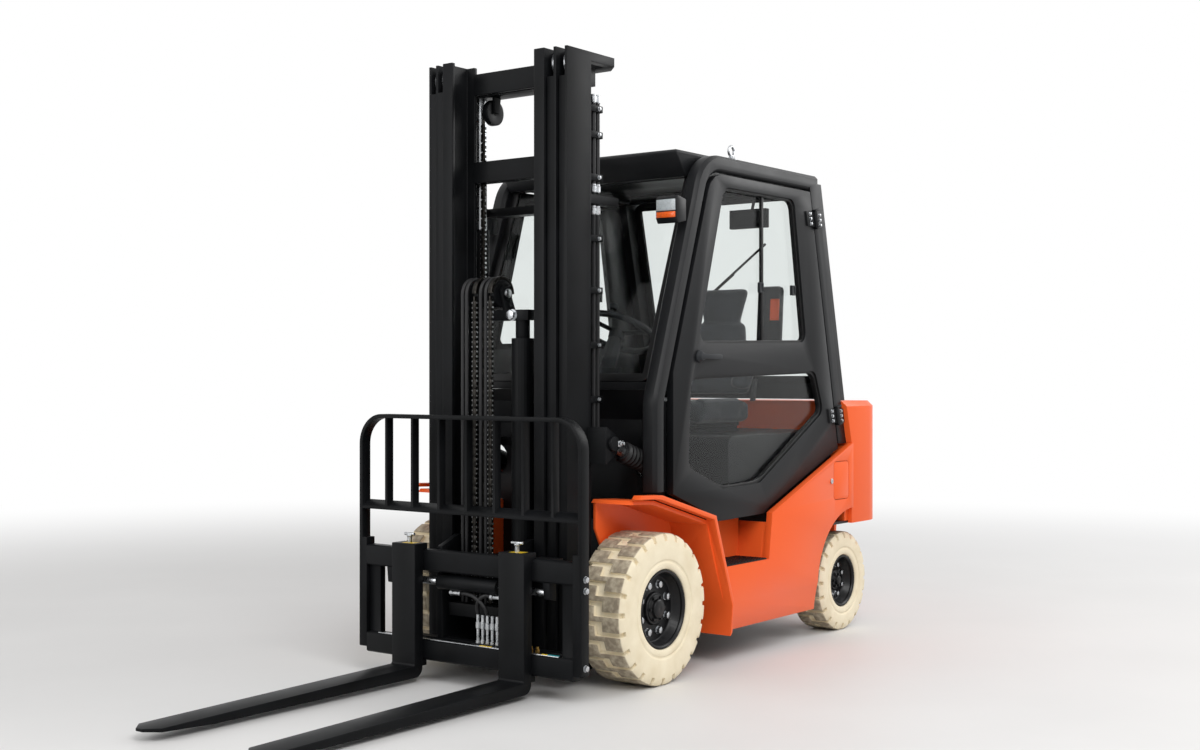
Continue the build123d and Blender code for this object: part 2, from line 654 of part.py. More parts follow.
# Cab frame: bent front pillars and roof rails, leaning rear pillars, cross rails and hinge leaves
def rear_pillar_x(z):
    return PILLAR_TOP_REAR - PILLAR_LEAN * (PILLAR_TOP_Z - z)


def pillar_front_x(z):
    return rear_pillar_x(z) + PILLAR_WIDE


def front_pillar_face(z):
    lean = (KNEE[0] - CROWN_X) / (RAIL_Z - KNEE[1])
    return KNEE[0] - lean * (z - KNEE[1]) + TUBE / 2 * sqrt(1 + lean ** 2)


def hinge_point(level):
    """Where the left door's hinge axis passes a level; the axis leans with the rear pillar."""
    return (pillar_front_x(level) + 3.5, HINGE_Y, level)


LEAN_LONG = sqrt(1 + PILLAR_LEAN ** 2)
HINGE_DIR = (PILLAR_LEAN / LEAN_LONG, 0, 1 / LEAN_LONG)


def hinge_plane(level, along):
    x, y, z = hinge_point(level)
    foot = (AX + x + along * HINGE_DIR[0], y, z + along * HINGE_DIR[2])
    return Plane(foot, x_dir=(0, 1, 0), z_dir=HINGE_DIR)


def hinge_leaf(level, x0, x1, y_low):
    """A flat leaf beside the hinge axis, leaning with it."""
    half = HINGE_HALF - 4
    low = hinge_point(level - half)[0]
    high = hinge_point(level + half)[0]
    slab([(low + x0, level - half), (low + x1, level - half), (high + x1, level + half), (high + x0, level + half)],
         y_low, y_low + LEAF_T)


with BuildPart() as cab_frame:
    pillar_path = [(KNEE[0], SILL_Z), KNEE, (CROWN_X, RAIL_Z), (PILLAR_TOP_REAR + 32, RAIL_Z)]
    with BuildLine(Plane.XZ.offset(-TUBE_Y)):
        FilletPolyline(*[(AX + x, z) for x, z in pillar_path], radius=BEND_R)
    with BuildSketch(Plane((AX + KNEE[0], TUBE_Y, SILL_Z))) as tube_section:
        Rectangle(TUBE, TUBE)
        chamfer(tube_section.vertices(), TUBE_EDGE)
    sweep()
    foot_x = rear_pillar_x(PANEL_TOP)
    slab([(PILLAR_TOP_REAR, PILLAR_TOP_Z), (PILLAR_TOP_REAR + PILLAR_WIDE, PILLAR_TOP_Z),
          (foot_x + PILLAR_WIDE, PANEL_TOP), (CW_FRONT + 4, PANEL_TOP), (CW_LIP + 4, CW_TOP),
          (CW_LIP + 4, CW_TOP + 4), (rear_pillar_x(CW_TOP + 4), CW_TOP + 4)], PILLAR_Y, CAB_OUT)
    for level in HINGE_LEVELS:
        hinge_leaf(level, -LEAF_WIDE, -HINGE_R - 2, CAB_OUT)
        for along in (-HINGE_HALF - HINGE_TAB, HINGE_HALF):
            with BuildSketch(hinge_plane(level, along)) as tab:
                with Locations(((HINGE_R - 4 - HINGE_Y + CAB_OUT) / 2, HINGE_TAB_LONG / 2 - 3)):
                    Rectangle(HINGE_Y - CAB_OUT + HINGE_R - 4, HINGE_TAB_LONG)
            extrude(tab.sketch, amount=HINGE_TAB - FIT)
    mirror(about=Plane.XZ)
    block(CROWN_X - 96, CROWN_X - 27, -TUBE_Y, TUBE_Y, SCREEN_TOP, ROOF_SEAT)
    block(PILLAR_TOP_REAR, PILLAR_TOP_REAR + TUBE, -TUBE_Y, TUBE_Y, SCREEN_TOP, ROOF_SEAT)
    sill_top = REAR_SILL + REAR_SILL_T
    slab([(rear_pillar_x(sill_top) + 50, sill_top), (rear_pillar_x(sill_top) + 5, sill_top),
          (rear_pillar_x(REAR_SILL) + 5, REAR_SILL), (rear_pillar_x(REAR_SILL) + 50, REAR_SILL)], -TUBE_Y, TUBE_Y)
    block(KNEE[0] - 32, KNEE[0] - 2, -TUBE_Y, TUBE_Y, COWL_TOP + 1, SCREEN_LOW)
    for low, high in both(TUBE_IN - 2, DOOR_IN - 6):
        block(BULKHEAD - COWL_T, KNEE[0] - TUBE / 2, low, high, SILL_Z + 1, KNEE[1])
save(cab_frame.part, "cab_frame")

# Roof panel with its sloping front fascia
with BuildPart() as roof_panel:
    slab([(VISOR, ROOF_TOP), (ROOF_REAR, ROOF_TOP), (ROOF_REAR, ROOF_SEAT), (CROWN_X - 26, ROOF_SEAT),
          (CROWN_X + 17.5, FASCIA_Z), (CROWN_X + 17.5 + FASCIA_T, FASCIA_Z), (VISOR, ROOF_TOP - 16)],
         -ROOF_HALF, ROOF_HALF)
    chamfer(roof_panel.faces().sort_by(Axis.Z)[-1].edges(), 10)
save(roof_panel.part, "roof_panel")

# Windscreen and rear window
with BuildPart() as cab_glass:
    slab([(-62, SCREEN_LOW), (-62 - GLASS_T, SCREEN_LOW), (CROWN_X - 10.5 - GLASS_T, SCREEN_TOP),
          (CROWN_X - 10.5, SCREEN_TOP)], -TUBE_IN, TUBE_IN)
    slab([(rear_pillar_x(sill_top) + 30, sill_top), (rear_pillar_x(sill_top) + 30 - GLASS_T, sill_top),
          (rear_pillar_x(SCREEN_TOP) + 30 - GLASS_T, SCREEN_TOP), (rear_pillar_x(SCREEN_TOP) + 30, SCREEN_TOP)],
         -PILLAR_Y, PILLAR_Y)
save(cab_glass.part, "cab_glass")

# Doors: one panel with rounded lights, panes bonded inside, hinge barrels and a handle
DOOR_EDGE = [(-124, 722), (-365, 634), (-440, DOOR_LOW), (STEP_REAR - 15, DOOR_LOW + 6), (STEP_REAR - 62, 624),
             (pillar_front_x(DOOR_REAR_LOW) + DOOR_GAP + 6, DOOR_REAR_LOW),
             (pillar_front_x(DOOR_TOP) + DOOR_GAP, DOOR_TOP), (-476, DOOR_TOP), (-432, 1996), (-392, 1963),
             (-377, 1932), (-182, 1365), (-124, 1199)]
UPPER_LIGHT = [(-497, 1958), (pillar_front_x(1960) + 160, 1960), (pillar_front_x(1333) + 197, 1333), (-303, 1315)]
LOWER_LIGHT = [(-252, 1180), (pillar_front_x(1206) + 146, 1206), (pillar_front_x(1022) + 112, 1022),
               (STEP_REAR + 18, 730), (-490, 721), (-232, 816)]


def light(points, amount, y_face, mode, lap=0.0):
    """A rounded window outline, or a pane that laps it all round."""
    with BuildSketch(Plane.XZ.offset(-y_face)) as outline:
        with BuildLine():
            Polyline(*[(AX + x, z) for x, z in points], close=True)
        make_face()
        if lap:
            offset(amount=lap, kind=Kind.INTERSECTION)
        else:
            fillet(outline.vertices(), LIGHT_CORNER)
    extrude(outline.sketch, amount=amount, mode=mode)


def door(side):
    with BuildPart() as body:
        slab(DOOR_EDGE, DOOR_IN, DOOR_OUT)
        light(UPPER_LIGHT, DOOR_OUT - DOOR_IN, DOOR_OUT, Mode.SUBTRACT)
        light(LOWER_LIGHT, DOOR_OUT - DOOR_IN, DOOR_OUT, Mode.SUBTRACT)
        slab([(HANDLE_X, HANDLE_Z - 13), (HANDLE_X, HANDLE_Z + 13), (HANDLE_X - HANDLE_LONG, HANDLE_Z + 9),
              (HANDLE_X - HANDLE_LONG, HANDLE_Z - 9)], DOOR_OUT, DOOR_OUT + 14)
        for level in HINGE_LEVELS:
            hinge_leaf(level, HINGE_R - 4, LEAF_WIDE, DOOR_OUT)
            with BuildSketch(hinge_plane(level, -HINGE_HALF)) as barrel:
                Circle(HINGE_R)
            extrude(barrel.sketch, amount=2 * HINGE_HALF - FIT)
        if side < 0:
            mirror(about=Plane.XZ, mode=Mode.REPLACE)
    return body.part


def door_glass(side):
    with BuildPart() as body:
        light(UPPER_LIGHT, GLASS_T, DOOR_IN, Mode.ADD, GLASS_LAP)
        light(LOWER_LIGHT, GLASS_T, DOOR_IN, Mode.ADD, GLASS_LAP)
        if side < 0:
            mirror(about=Plane.XZ, mode=Mode.REPLACE)
    return body.part


for side_name, side in SIDES:
    save(door(side), f"door_{side_name}")
    save(door_glass(side), f"door_{side_name}_glass")

# Work lamps hung from gusset plates on the front pillars
with BuildPart() as work_lamps:
    for side in (-1, 1):
        lamp_rear = LAMP_X - LAMP_DEEP
        slab([(LAMP_X - 12, LAMP_LOW), (LAMP_X, LAMP_LOW + 20), (LAMP_X, LAMP_TOP - 12), (LAMP_X - 12, LAMP_TOP),
              (lamp_rear, LAMP_TOP - 12), (lamp_rear, LAMP_LOW + 12)],
             side * LAMP_Y - LAMP_HALF, side * LAMP_Y + LAMP_HALF)
        slab([(lamp_rear + 1, LAMP_LOW + 35), (lamp_rear + 1, LAMP_TOP - 35),
              (front_pillar_face(LAMP_TOP - 35), LAMP_TOP - 35), (front_pillar_face(LAMP_LOW + 35), LAMP_LOW + 35)],
             side * LAMP_Y - 15, side * LAMP_Y + 15)
save(work_lamps.part, "work_lamps")

# Lifting eyes on the roof rails
with BuildPart() as lifting_eyes:
    rail_top = RAIL_Z + TUBE / 2
    eye_z = rail_top + EYE_FOOT + EYE_R
    for low, high in both(TUBE_Y - EYE_T / 2, TUBE_Y + EYE_T / 2):
        slab([(EYE_X - EYE_R - 8, rail_top), (EYE_X + EYE_R + 8, rail_top), (EYE_X + EYE_R, eye_z),
              (EYE_X - EYE_R, eye_z)], low, high)
        shaft(EYE_X, eye_z, low, high, EYE_R)
        shaft(EYE_X, eye_z, low, high, EYE_BORE, Mode.SUBTRACT)
save(lifting_eyes.part, "lifting_eyes")


# Mast stages
def rail(x_rear, y_out, y_lip, z0, z1):
    """A pair of mast channels that open inward."""
    x_front = x_rear + RAIL_DEPTH
    for side in (-1, 1):
        ends = [(x_rear, y_out), (x_front, y_out), (x_front, y_lip)]
        ends += [(x_front - RAIL_FLANGE, y_lip), (x_front - RAIL_FLANGE, y_out - RAIL_WEB)]
        ends += [(x_rear + RAIL_FLANGE, y_out - RAIL_WEB), (x_rear + RAIL_FLANGE, y_lip), (x_rear, y_lip)]
        plan([(x, side * y) for x, y in ends], z0, z1)


def head_rollers(x_rear, y_out, y_lip):
    """Front flanges cut away at the rail heads, with the roller that runs on the next stage."""
    x_front = x_rear + RAIL_DEPTH
    for low, high in both(y_lip, y_out - RAIL_WEB):
        block(x_front - RAIL_FLANGE, x_front, low, high, MAST_TOP - NOTCH, MAST_TOP, Mode.SUBTRACT)
    for low, high in both(y_lip + 4, y_out - RAIL_WEB):
        shaft(x_rear + RAIL_DEPTH / 2, MAST_TOP - NOTCH / 2, low, high, ROLLER_R)


def wear_pads(y_out, y_next, x_next):
    """Slide pads low on a moving stage that run along the lips of the stage outside it."""
    x_front = x_next + RAIL_DEPTH
    for low, high in both(y_out, y_next - FIT):
        block(x_front - RAIL_FLANGE, x_front - 2, low, high, PAD_LOW, PAD_HIGH)


# Outer mast: rails, rearward ties, foot tie, axle hangers and tilt cylinder lugs
with BuildPart() as mast_outer:
    rail(OUTER_X, OUTER_Y, OUTER_LIP, MAST_FOOT, MAST_TOP)
    head_rollers(OUTER_X, OUTER_Y, OUTER_LIP)
    seat_x = OUTER_X + RAIL_FLANGE + 2
    for level, reach in TIES:
        with BuildSketch(Plane.XY.offset(level)) as tie:
            with BuildLine():
                Polyline((AX + seat_x, -OUTER_Y), (AX + reach, -OUTER_Y), (AX + reach, OUTER_Y),
                         (AX + seat_x, OUTER_Y), close=True)
            make_face()
            chamfer(tie.vertices().group_by(Axis.X)[0], TIE_CORNER)
            with Locations((AX + (reach + TIE_BACK + seat_x) / 2, 0)):
                Rectangle(seat_x - reach - TIE_BACK, 2 * OUTER_LIP, mode=Mode.SUBTRACT)
        extrude(tie.sketch, amount=TIE_T)
    block(30, LIFT_X + 26, -OUTER_Y, OUTER_Y, MAST_FOOT, LIFT_FOOT)
    for low, high in both(OUTER_LIP, OUTER_Y):
        block(LIFT_X + 16, OUTER_X + 10, low, high, MAST_FOOT, LIFT_FOOT)
    for side, (low, high) in zip((-1, 1), both(HANGER_IN, HANGER_OUT)):
        slab([(-HANGER_R * 0.9, FRONT_R - 40), (-40, FRONT_R - HANGER_R), (OUTER_X + 10, 140), (OUTER_X + 10, 480),
              (-40, FRONT_R + HANGER_R), (-HANGER_R * 0.9, FRONT_R + 40)],
             *sorted((side * OUTER_LIP, side * HANGER_OUT)))
        shaft(0, FRONT_R, side * (HANGER_IN - 1), side * (OUTER_Y + 1), AXLE_TUBE_R + FIT, Mode.SUBTRACT)
        for lug in (TILT_Y - TILT_EYE_T / 2 - 4 - LUG_T, TILT_Y + TILT_EYE_T / 2 + 4):
            slab([(TILT_PIN[0] - 34, 890), (OUTER_X + 10, 850), (OUTER_X + 10, 990), (TILT_PIN[0] - 20, 960)],
                 *sorted((side * lug, side * (lug + LUG_T))))
        block(OUTER_X + 6, OUTER_X + 19, side * OUTER_Y, side * (TILT_Y + 34), 850, 990)
        shaft(*TILT_PIN, side * (TILT_Y - 38), side * (TILT_Y + 44), TILT_PIN_R)
save(mast_outer.part, "mast_outer")

with BuildPart() as lift_cylinders:
    for side in (-1, 1):
        pipe(LIFT_X, side * LIFT_Y, LIFT_FOOT, LIFT_TOP, LIFT_R)
        pipe(LIFT_X, side * LIFT_Y, LIFT_FOOT + 40, LIFT_TOP, LIFT_ROD_R + 1, Mode.SUBTRACT)
save(lift_cylinders.part, "lift_cylinders")

# Hoses clipped behind the left outer rail
with BuildPart() as mast_hoses:
    for step in (0, 1):
        with BuildSketch(Plane.XY.offset(TIES[2][0] + TIE_T + FIT)):
            with Locations((AX + HOSE_X - step * HOSE_PITCH, HOSE_Y)):
                RegularPolygon(HOSE_R, 8)
        extrude(amount=TIES[1][0] - TIES[2][0] - TIE_T - 2 * FIT)
save(mast_hoses.part, "mast_hoses")

# Middle mast: rails, head beam over the lift rods with its chain sheaves, and a foot tie
with BuildPart() as mast_middle:
    rail(MIDDLE_X, MIDDLE_Y, MIDDLE_LIP, MAST_FOOT + STAGE_STEP, MAST_TOP)
    head_rollers(MIDDLE_X, MIDDLE_Y, MIDDLE_LIP)
    block(LIFT_X - LIFT_R, MIDDLE_X + 2, -MIDDLE_Y, MIDDLE_Y, HEAD_Z, HEAD_Z + HEAD_TALL)
    for level in (CROSS_MID, MAST_FOOT + 88):
        block(MIDDLE_X - 20, MIDDLE_X + 2, -MIDDLE_Y, MIDDLE_Y, level, level + CROSS_T)
        for low, high in both(MAST_SHEAVE_Y - CHAIN_W, MAST_SHEAVE_Y + CHAIN_W):
            block(MIDDLE_X - 10, MIDDLE_X + 2, low, high, level, level + CROSS_T, Mode.SUBTRACT)
    wear_pads(MIDDLE_Y, OUTER_LIP, OUTER_X)
    for side in (-1, 1):
        y = side * MAST_SHEAVE_Y
        slab([(MAST_SHEAVE_X - 20, HEAD_Z), (MAST_SHEAVE_X + 20, HEAD_Z), (MAST_SHEAVE_X + 12, HEAD_Z - 62),
              (MAST_SHEAVE_X - 12, HEAD_Z - 62)], *sorted((y - side * 12, y - side * 24)))
        shaft(MAST_SHEAVE_X, HEAD_Z - MAST_SHEAVE_R - 6, y - 12, y + 12, MAST_SHEAVE_R)
save(mast_middle.part, "mast_middle")

with BuildPart() as lift_rods:
    for side in (-1, 1):
        pipe(LIFT_X, side * LIFT_Y, LIFT_FOOT + 60, HEAD_Z, LIFT_ROD_R)
save(lift_rods.part, "lift_rods")

# Inner mast: rails, cross plates and the shelf under the free-lift cylinder
INNER_FOOT = MAST_FOOT + 2 * STAGE_STEP
with BuildPart() as mast_inner:
    rail(INNER_X, INNER_Y, INNER_LIP, INNER_FOOT, MAST_TOP)
    for level in (CROSS_HIGH, CROSS_MID, CROSS_LOW, ANCHOR_Z):
        block(INNER_X, INNER_X + RAIL_FLANGE, -INNER_LIP - 5, INNER_LIP + 5, level, level + CROSS_T)
    for low, high in both(MAST_SHEAVE_Y - CHAIN_W / 2, MAST_SHEAVE_Y + CHAIN_W / 2):
        block(MAST_CHAIN_X - CHAIN_T / 2, INNER_X + 1, low, high, ANCHOR_Z, ANCHOR_Z + CHAIN_LINK)
    block(INNER_X, FREE_X + FREE_R, -INNER_LIP - 5, INNER_LIP + 5, INNER_FOOT, FREE_FOOT)
    wear_pads(INNER_Y, MIDDLE_LIP, MIDDLE_X)
save(mast_inner.part, "mast_inner")

with BuildPart() as free_lift_cylinder:
    pipe(FREE_X, FREE_Y, FREE_FOOT, FREE_TOP, FREE_R)
    pipe(FREE_X, FREE_Y, FREE_FOOT + 30, FREE_TOP, FREE_ROD_R + 1, Mode.SUBTRACT)
save(free_lift_cylinder.part, "free_lift_cylinder")

# Free-lift head: rod, crosshead and the cluster of chain and hose sheaves
CLUSTER = 2 * SHEAVE_PITCH
with BuildPart() as free_lift_head:
    pipe(FREE_X, FREE_Y, FREE_FOOT + 60, CROSSHEAD_Z, FREE_ROD_R)
    plan([(FREE_X - 34, FREE_Y + 30), (FREE_X - 14, FREE_Y + 44), (FREE_X + 22, FREE_Y + 44), (FREE_X + 36, FREE_Y + 20),
          (FREE_X + 36, CHAIN_MID - CLUSTER - 14), (FREE_X - 34, CHAIN_MID - CLUSTER - 14)],
         CROSSHEAD_Z, CROSSHEAD_Z + CROSSHEAD_T)
    for y in (CHAIN_MID - CLUSTER - 12, CHAIN_MID + CLUSTER):
        slab([(FREE_X - 30, CROSSHEAD_Z + CROSSHEAD_T), (FREE_X + 34, CROSSHEAD_Z + CROSSHEAD_T),
              (SHEAVE_X + 28, SHEAVE_Z + 10), (SHEAVE_X + 12, SHEAVE_Z + 28), (SHEAVE_X - 16, SHEAVE_Z + 28)], y, y + 12)
    pin_half = CLUSTER + 20
    with BuildSketch(Plane.XZ.offset(-(CHAIN_MID + pin_half))):
        with Locations((AX + SHEAVE_X, SHEAVE_Z)):
            RegularPolygon(16, TURN_SIDES)
    extrude(amount=2 * pin_half)
    for step in (-1.5, -0.5, 0.5, 1.5):
        y = CHAIN_MID + step * SHEAVE_PITCH
        shaft(SHEAVE_X, SHEAVE_Z, y - SHEAVE_T / 2, y + SHEAVE_T / 2, SHEAVE_R - CHAIN_T / 2)
save(free_lift_head.part, "free_lift_head")

# Carriage: roller plates, rollers and the two rear bars the sideshift frame runs on
with BuildPart() as carriage:
    for (low, high), (inner, outer) in zip(both(CARRIAGE_IN, CARRIAGE_OUT), both(CARRIAGE_OUT - 6, INNER_Y - 18)):
        slab([(215, 130), (CARRIAGE_X[1], 110), (CARRIAGE_X[1], 520), (330, 560), (215, 560)], low, high)
        for level in CARRIAGE_ROLLERS:
            with BuildSketch(Plane.XZ.offset(-outer)) as roller:
                with Locations((AX + INNER_X + RAIL_DEPTH / 2, level)):
                    RegularPolygon(CARRIAGE_ROLLER_R, TURN_SIDES)
            extrude(roller.sketch, amount=outer - inner)
    block(*CARRIAGE_X, -CARRIAGE_HALF, CARRIAGE_HALF, UPPER_BAR[0], UPPER_BAR[1] - BAR_LAP)
    block(*CARRIAGE_X, -CARRIAGE_HALF, CARRIAGE_HALF, LOWER_BAR[0] + BAR_LAP, LOWER_BAR[1])
    block(SHEAVE_X + 56, CARRIAGE_X[0] + 1, -CARRIAGE_OUT, CARRIAGE_OUT, ANCHOR_Z - 50, ANCHOR_Z)
save(carriage.part, "carriage")


def leaf_chain(x, y, z0, z1):
    """A leaf chain hanging straight, its plates waisted between the pins."""
    links = round((z1 - z0) / CHAIN_LINK)
    pitch = (z1 - z0) / links
    half = CHAIN_T / 2
    edge = []
    for link in range(links):
        foot = z0 + link * pitch
        edge += [(half - CHAIN_WAIST, foot), (half, foot + pitch / 2)]
    edge.append((half - CHAIN_WAIST, z1))
    slab([(x + a, z) for a, z in edge] + [(x - a, z) for a, z in reversed(edge)], y - CHAIN_W / 2, y + CHAIN_W / 2)


# Leaf chains from the carriage up to the sheaves of the free-lift head
with BuildPart() as lift_chains:
    for step in (-1.5, 1.5):
        leaf_chain(SHEAVE_X + SHEAVE_R, CHAIN_MID + step * SHEAVE_PITCH, ANCHOR_Z, SHEAVE_Z)
save(lift_chains.part, "lift_chains")

# Leaf chains from the inner mast's foot plate up to the sheaves of the middle mast
with BuildPart() as mast_chains:
    for side in (-1, 1):
        leaf_chain(MAST_CHAIN_X, side * MAST_SHEAVE_Y, ANCHOR_Z + CHAIN_LINK, HEAD_Z - MAST_SHEAVE_R - 6)
save(mast_chains.part, "mast_chains")

# Sideshift frame: two fork bars, end plates, slide pads and the shift cylinder
with BuildPart() as fork_carrier:
    for low, high in (UPPER_BAR, LOWER_BAR):
        block(BAR_REAR, BAR_FRONT, -BAR_HALF, BAR_HALF, low, high)
    chamfer(fork_carrier.edges().filter_by(Axis.Y).group_by(Axis.X)[-1], 6)
    for low, high in both(BAR_HALF - 60, BAR_HALF):
        block(BAR_REAR, BAR_FRONT - 18, low, high, LOWER_BAR[1], UPPER_BAR[0])
    shaft(SHIFT_X, SHIFT_Z, -BAR_HALF + 110, BAR_HALF - 110, SHIFT_ROD_R)
    shaft(SHIFT_X, SHIFT_Z, -150, 150, SHIFT_R)
    for low, high in both(BAR_HALF - 140, BAR_HALF - 110):
        slab([(BAR_REAR, UPPER_BAR[0]), (BAR_FRONT - 4, UPPER_BAR[0]), (BAR_FRONT - 10, SHIFT_Z - 20),
              (BAR_REAR, SHIFT_Z - 28)], low, high)
    for low, high in both(SHOE_IN, SHOE_OUT):
        block(CARRIAGE_X[0] + 10, BAR_REAR, low, high, UPPER_BAR[1] - BAR_LAP + FIT, UPPER_BAR[1])
        block(CARRIAGE_X[0] + 10, BAR_REAR, low, high, LOWER_BAR[0], LOWER_BAR[0] + BAR_LAP - FIT)
save(fork_carrier.part, "fork_carrier")

# Load backrest: bent flat-bar frame, angle mid bar, uprights with gussets and side plates
with BuildPart() as load_backrest:
    with BuildSketch(Plane.YZ.offset(AX + BAR_REAR)) as guard_frame:
        with Locations((0, (GUARD_LOW + GUARD_TOP) / 2)):
            Rectangle(2 * GUARD_HALF, GUARD_TOP - GUARD_LOW)
        fillet(guard_frame.vertices().group_by(Axis.Y)[-1], GUARD_CORNER)
        offset(amount=-GUARD_BAR, mode=Mode.SUBTRACT)
        with Locations((0, GUARD_LOW + GUARD_BAR / 2)):
            Rectangle(2 * (GUARD_HALF - GUARD_BAR), GUARD_BAR, mode=Mode.SUBTRACT)
    extrude(amount=BAR_FRONT - BAR_REAR)
    inner = GUARD_HALF - GUARD_BAR
    for low, high in both(BAR_HALF, inner):
        block(BAR_REAR, BAR_FRONT, low, high, GUARD_LOW, GUARD_FOOT)
    slab([(BAR_FRONT, GUARD_MID), (BAR_FRONT, GUARD_MID + 8), (BAR_FRONT - MID_RUN, GUARD_MID + MID_RISE),
          (BAR_REAR, GUARD_MID + MID_RISE), (BAR_REAR, GUARD_MID)], -inner, inner)
    spacing = 2 * GUARD_HALF / GUARD_STEPS
    for step in range(1, GUARD_STEPS):
        y = -GUARD_HALF + step * spacing
        block(BAR_REAR + 2, BAR_FRONT - 8, y - UPRIGHT / 2, y + UPRIGHT / 2, GUARD_MID + 8, GUARD_TOP - GUARD_BAR)
save(load_backrest.part, "load_backrest")


def fork(side):
    low = side * FORK_Y - FORK_W / 2
    high = side * FORK_Y + FORK_W / 2
    hook = 62
    with BuildPart() as body:
        slab([(FORK_FACE - FORK_T, FORK_Z), (FORK_TIP - FORK_TAPER, FORK_Z), (FORK_TIP, FORK_Z + 14),
              (FORK_TIP, FORK_Z + 14 + FORK_NOSE), (FORK_FACE, FORK_Z + FORK_T), (FORK_FACE, FORK_HEAD),
              (BAR_FRONT - 24, FORK_HEAD), (BAR_FRONT - 24, UPPER_BAR[1] + FIT), (BAR_FRONT + FIT, UPPER_BAR[1] + FIT),
              (BAR_FRONT + FIT, LOWER_BAR[0] - FIT), (BAR_FRONT - 20, LOWER_BAR[0] - FIT), (BAR_FRONT - 20, hook),
              (FORK_FACE - FORK_T, hook)], low, high)
        heel = body.edges().filter_by(Axis.Y).sort_by_distance((AX + FORK_FACE - FORK_T, side * FORK_Y, FORK_Z))[0]
        fillet(heel, HEEL_R)
        root = body.edges().filter_by(Axis.Y).sort_by_distance((AX + FORK_FACE, side * FORK_Y, FORK_Z + FORK_T))[0]
        fillet(root, FORK_NOSE)
        tip = body.edges().filter_by(Axis.Z).group_by(Axis.X)[-1]
        chamfer(tip, FORK_T)
    return body.part


for side_name, side in SIDES:
    save(fork(side), f"fork_{side_name}")


# Tilt cylinders
def tilt_plane(along, y):
    """Plane square to a tilt cylinder, at a distance from its chassis pin."""
    u = (cos(TILT_ANGLE), 0, sin(TILT_ANGLE))
    base = (AX + TILT_ANCHOR[0], y, TILT_ANCHOR[1])
    return Plane([b + along * c for b, c in zip(base, u)], x_dir=(0, 1, 0), z_dir=u)


def tilt_turn(y, start, end, radius, sides=0, mode=Mode.ADD):
    with BuildSketch(tilt_plane(start, y)) as ring:
        if sides:
            RegularPolygon(radius, sides)
        else:
            Circle(radius)
    extrude(ring.sketch, amount=end - start, mode=mode)


def tilt_eye(x, z, y, bore):
    """A cylinder's end eye, an eight-sided block bored for its pin."""
    with BuildSketch(Plane.XZ.offset(-(y + TILT_EYE_T / 2))) as eye:
        with Locations((AX + x, z)):
            RegularPolygon(TILT_EYE_R, 8, rotation=22.5)
    extrude(eye.sketch, amount=TILT_EYE_T)
    shaft(x, z, y - TILT_EYE_T / 2, y + TILT_EYE_T / 2, bore, Mode.SUBTRACT)


def tilt_barrel(y):
    """Barrel and the sleeve of its boot."""
    with BuildPart() as body:
        tilt_turn(y, *TILT_SLEEVE, TILT_R)
        tilt_turn(y, 16, TILT_SLEEVE[0], TILT_PIN_R)
        tilt_turn(y, TILT_BORE, TILT_SLEEVE[1], TILT_ROD_R + 1, TURN_SIDES, Mode.SUBTRACT)
        tilt_eye(*TILT_ANCHOR, y, TILT_PIN_R + FIT)
    return body.part


def tilt_rod(y):
    with BuildPart() as body:
        tilt_turn(y, TILT_INSERT, TILT_LONG - TILT_EYE_R / 2, TILT_ROD_R, TURN_SIDES)
        tilt_eye(*TILT_PIN, y, TILT_PIN_R + EYE_SLACK)
    return body.part


for side_name, side in SIDES:
    save(tilt_barrel(side * TILT_Y), f"tilt_barrel_{side_name}")
    save(tilt_rod(side * TILT_Y), f"tilt_rod_{side_name}")
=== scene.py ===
import json
from contextlib import contextmanager
from math import atan2, cos, hypot, pi, radians, sin

import bpy
from mathutils import Matrix, Vector

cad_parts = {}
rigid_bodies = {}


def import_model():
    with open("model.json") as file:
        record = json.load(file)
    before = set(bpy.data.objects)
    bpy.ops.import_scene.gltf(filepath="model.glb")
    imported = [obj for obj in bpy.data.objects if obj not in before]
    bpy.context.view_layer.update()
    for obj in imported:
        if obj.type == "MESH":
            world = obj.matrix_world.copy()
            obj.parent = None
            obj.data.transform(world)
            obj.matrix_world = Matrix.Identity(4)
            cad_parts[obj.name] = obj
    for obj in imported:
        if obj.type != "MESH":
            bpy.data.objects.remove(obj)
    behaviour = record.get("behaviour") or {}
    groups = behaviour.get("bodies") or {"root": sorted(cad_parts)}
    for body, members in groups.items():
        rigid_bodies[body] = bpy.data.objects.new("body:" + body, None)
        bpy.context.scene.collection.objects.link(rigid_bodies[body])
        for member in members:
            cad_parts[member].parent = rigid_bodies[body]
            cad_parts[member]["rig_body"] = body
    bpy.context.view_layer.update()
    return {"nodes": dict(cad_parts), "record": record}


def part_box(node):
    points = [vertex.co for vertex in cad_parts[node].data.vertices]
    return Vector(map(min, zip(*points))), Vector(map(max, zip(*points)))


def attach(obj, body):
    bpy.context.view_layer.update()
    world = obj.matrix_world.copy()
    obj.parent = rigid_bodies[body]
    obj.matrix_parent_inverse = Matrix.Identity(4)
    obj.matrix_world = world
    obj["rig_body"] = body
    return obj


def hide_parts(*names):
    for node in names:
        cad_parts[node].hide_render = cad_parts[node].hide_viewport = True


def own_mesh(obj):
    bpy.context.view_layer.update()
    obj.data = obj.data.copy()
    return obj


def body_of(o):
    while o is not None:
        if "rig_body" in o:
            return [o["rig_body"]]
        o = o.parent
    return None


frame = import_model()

bl_info = {
    "name": "Counterbalance forklift",
    "version": (1, 0, 0),
    "blender": (4, 5, 0),
    "location": "View3D > Sidebar > Forklift",
    "description": "Dresses the packed forklift: paint, glass, tyres, mast gear, seat and studio",
    "category": "Object",
}

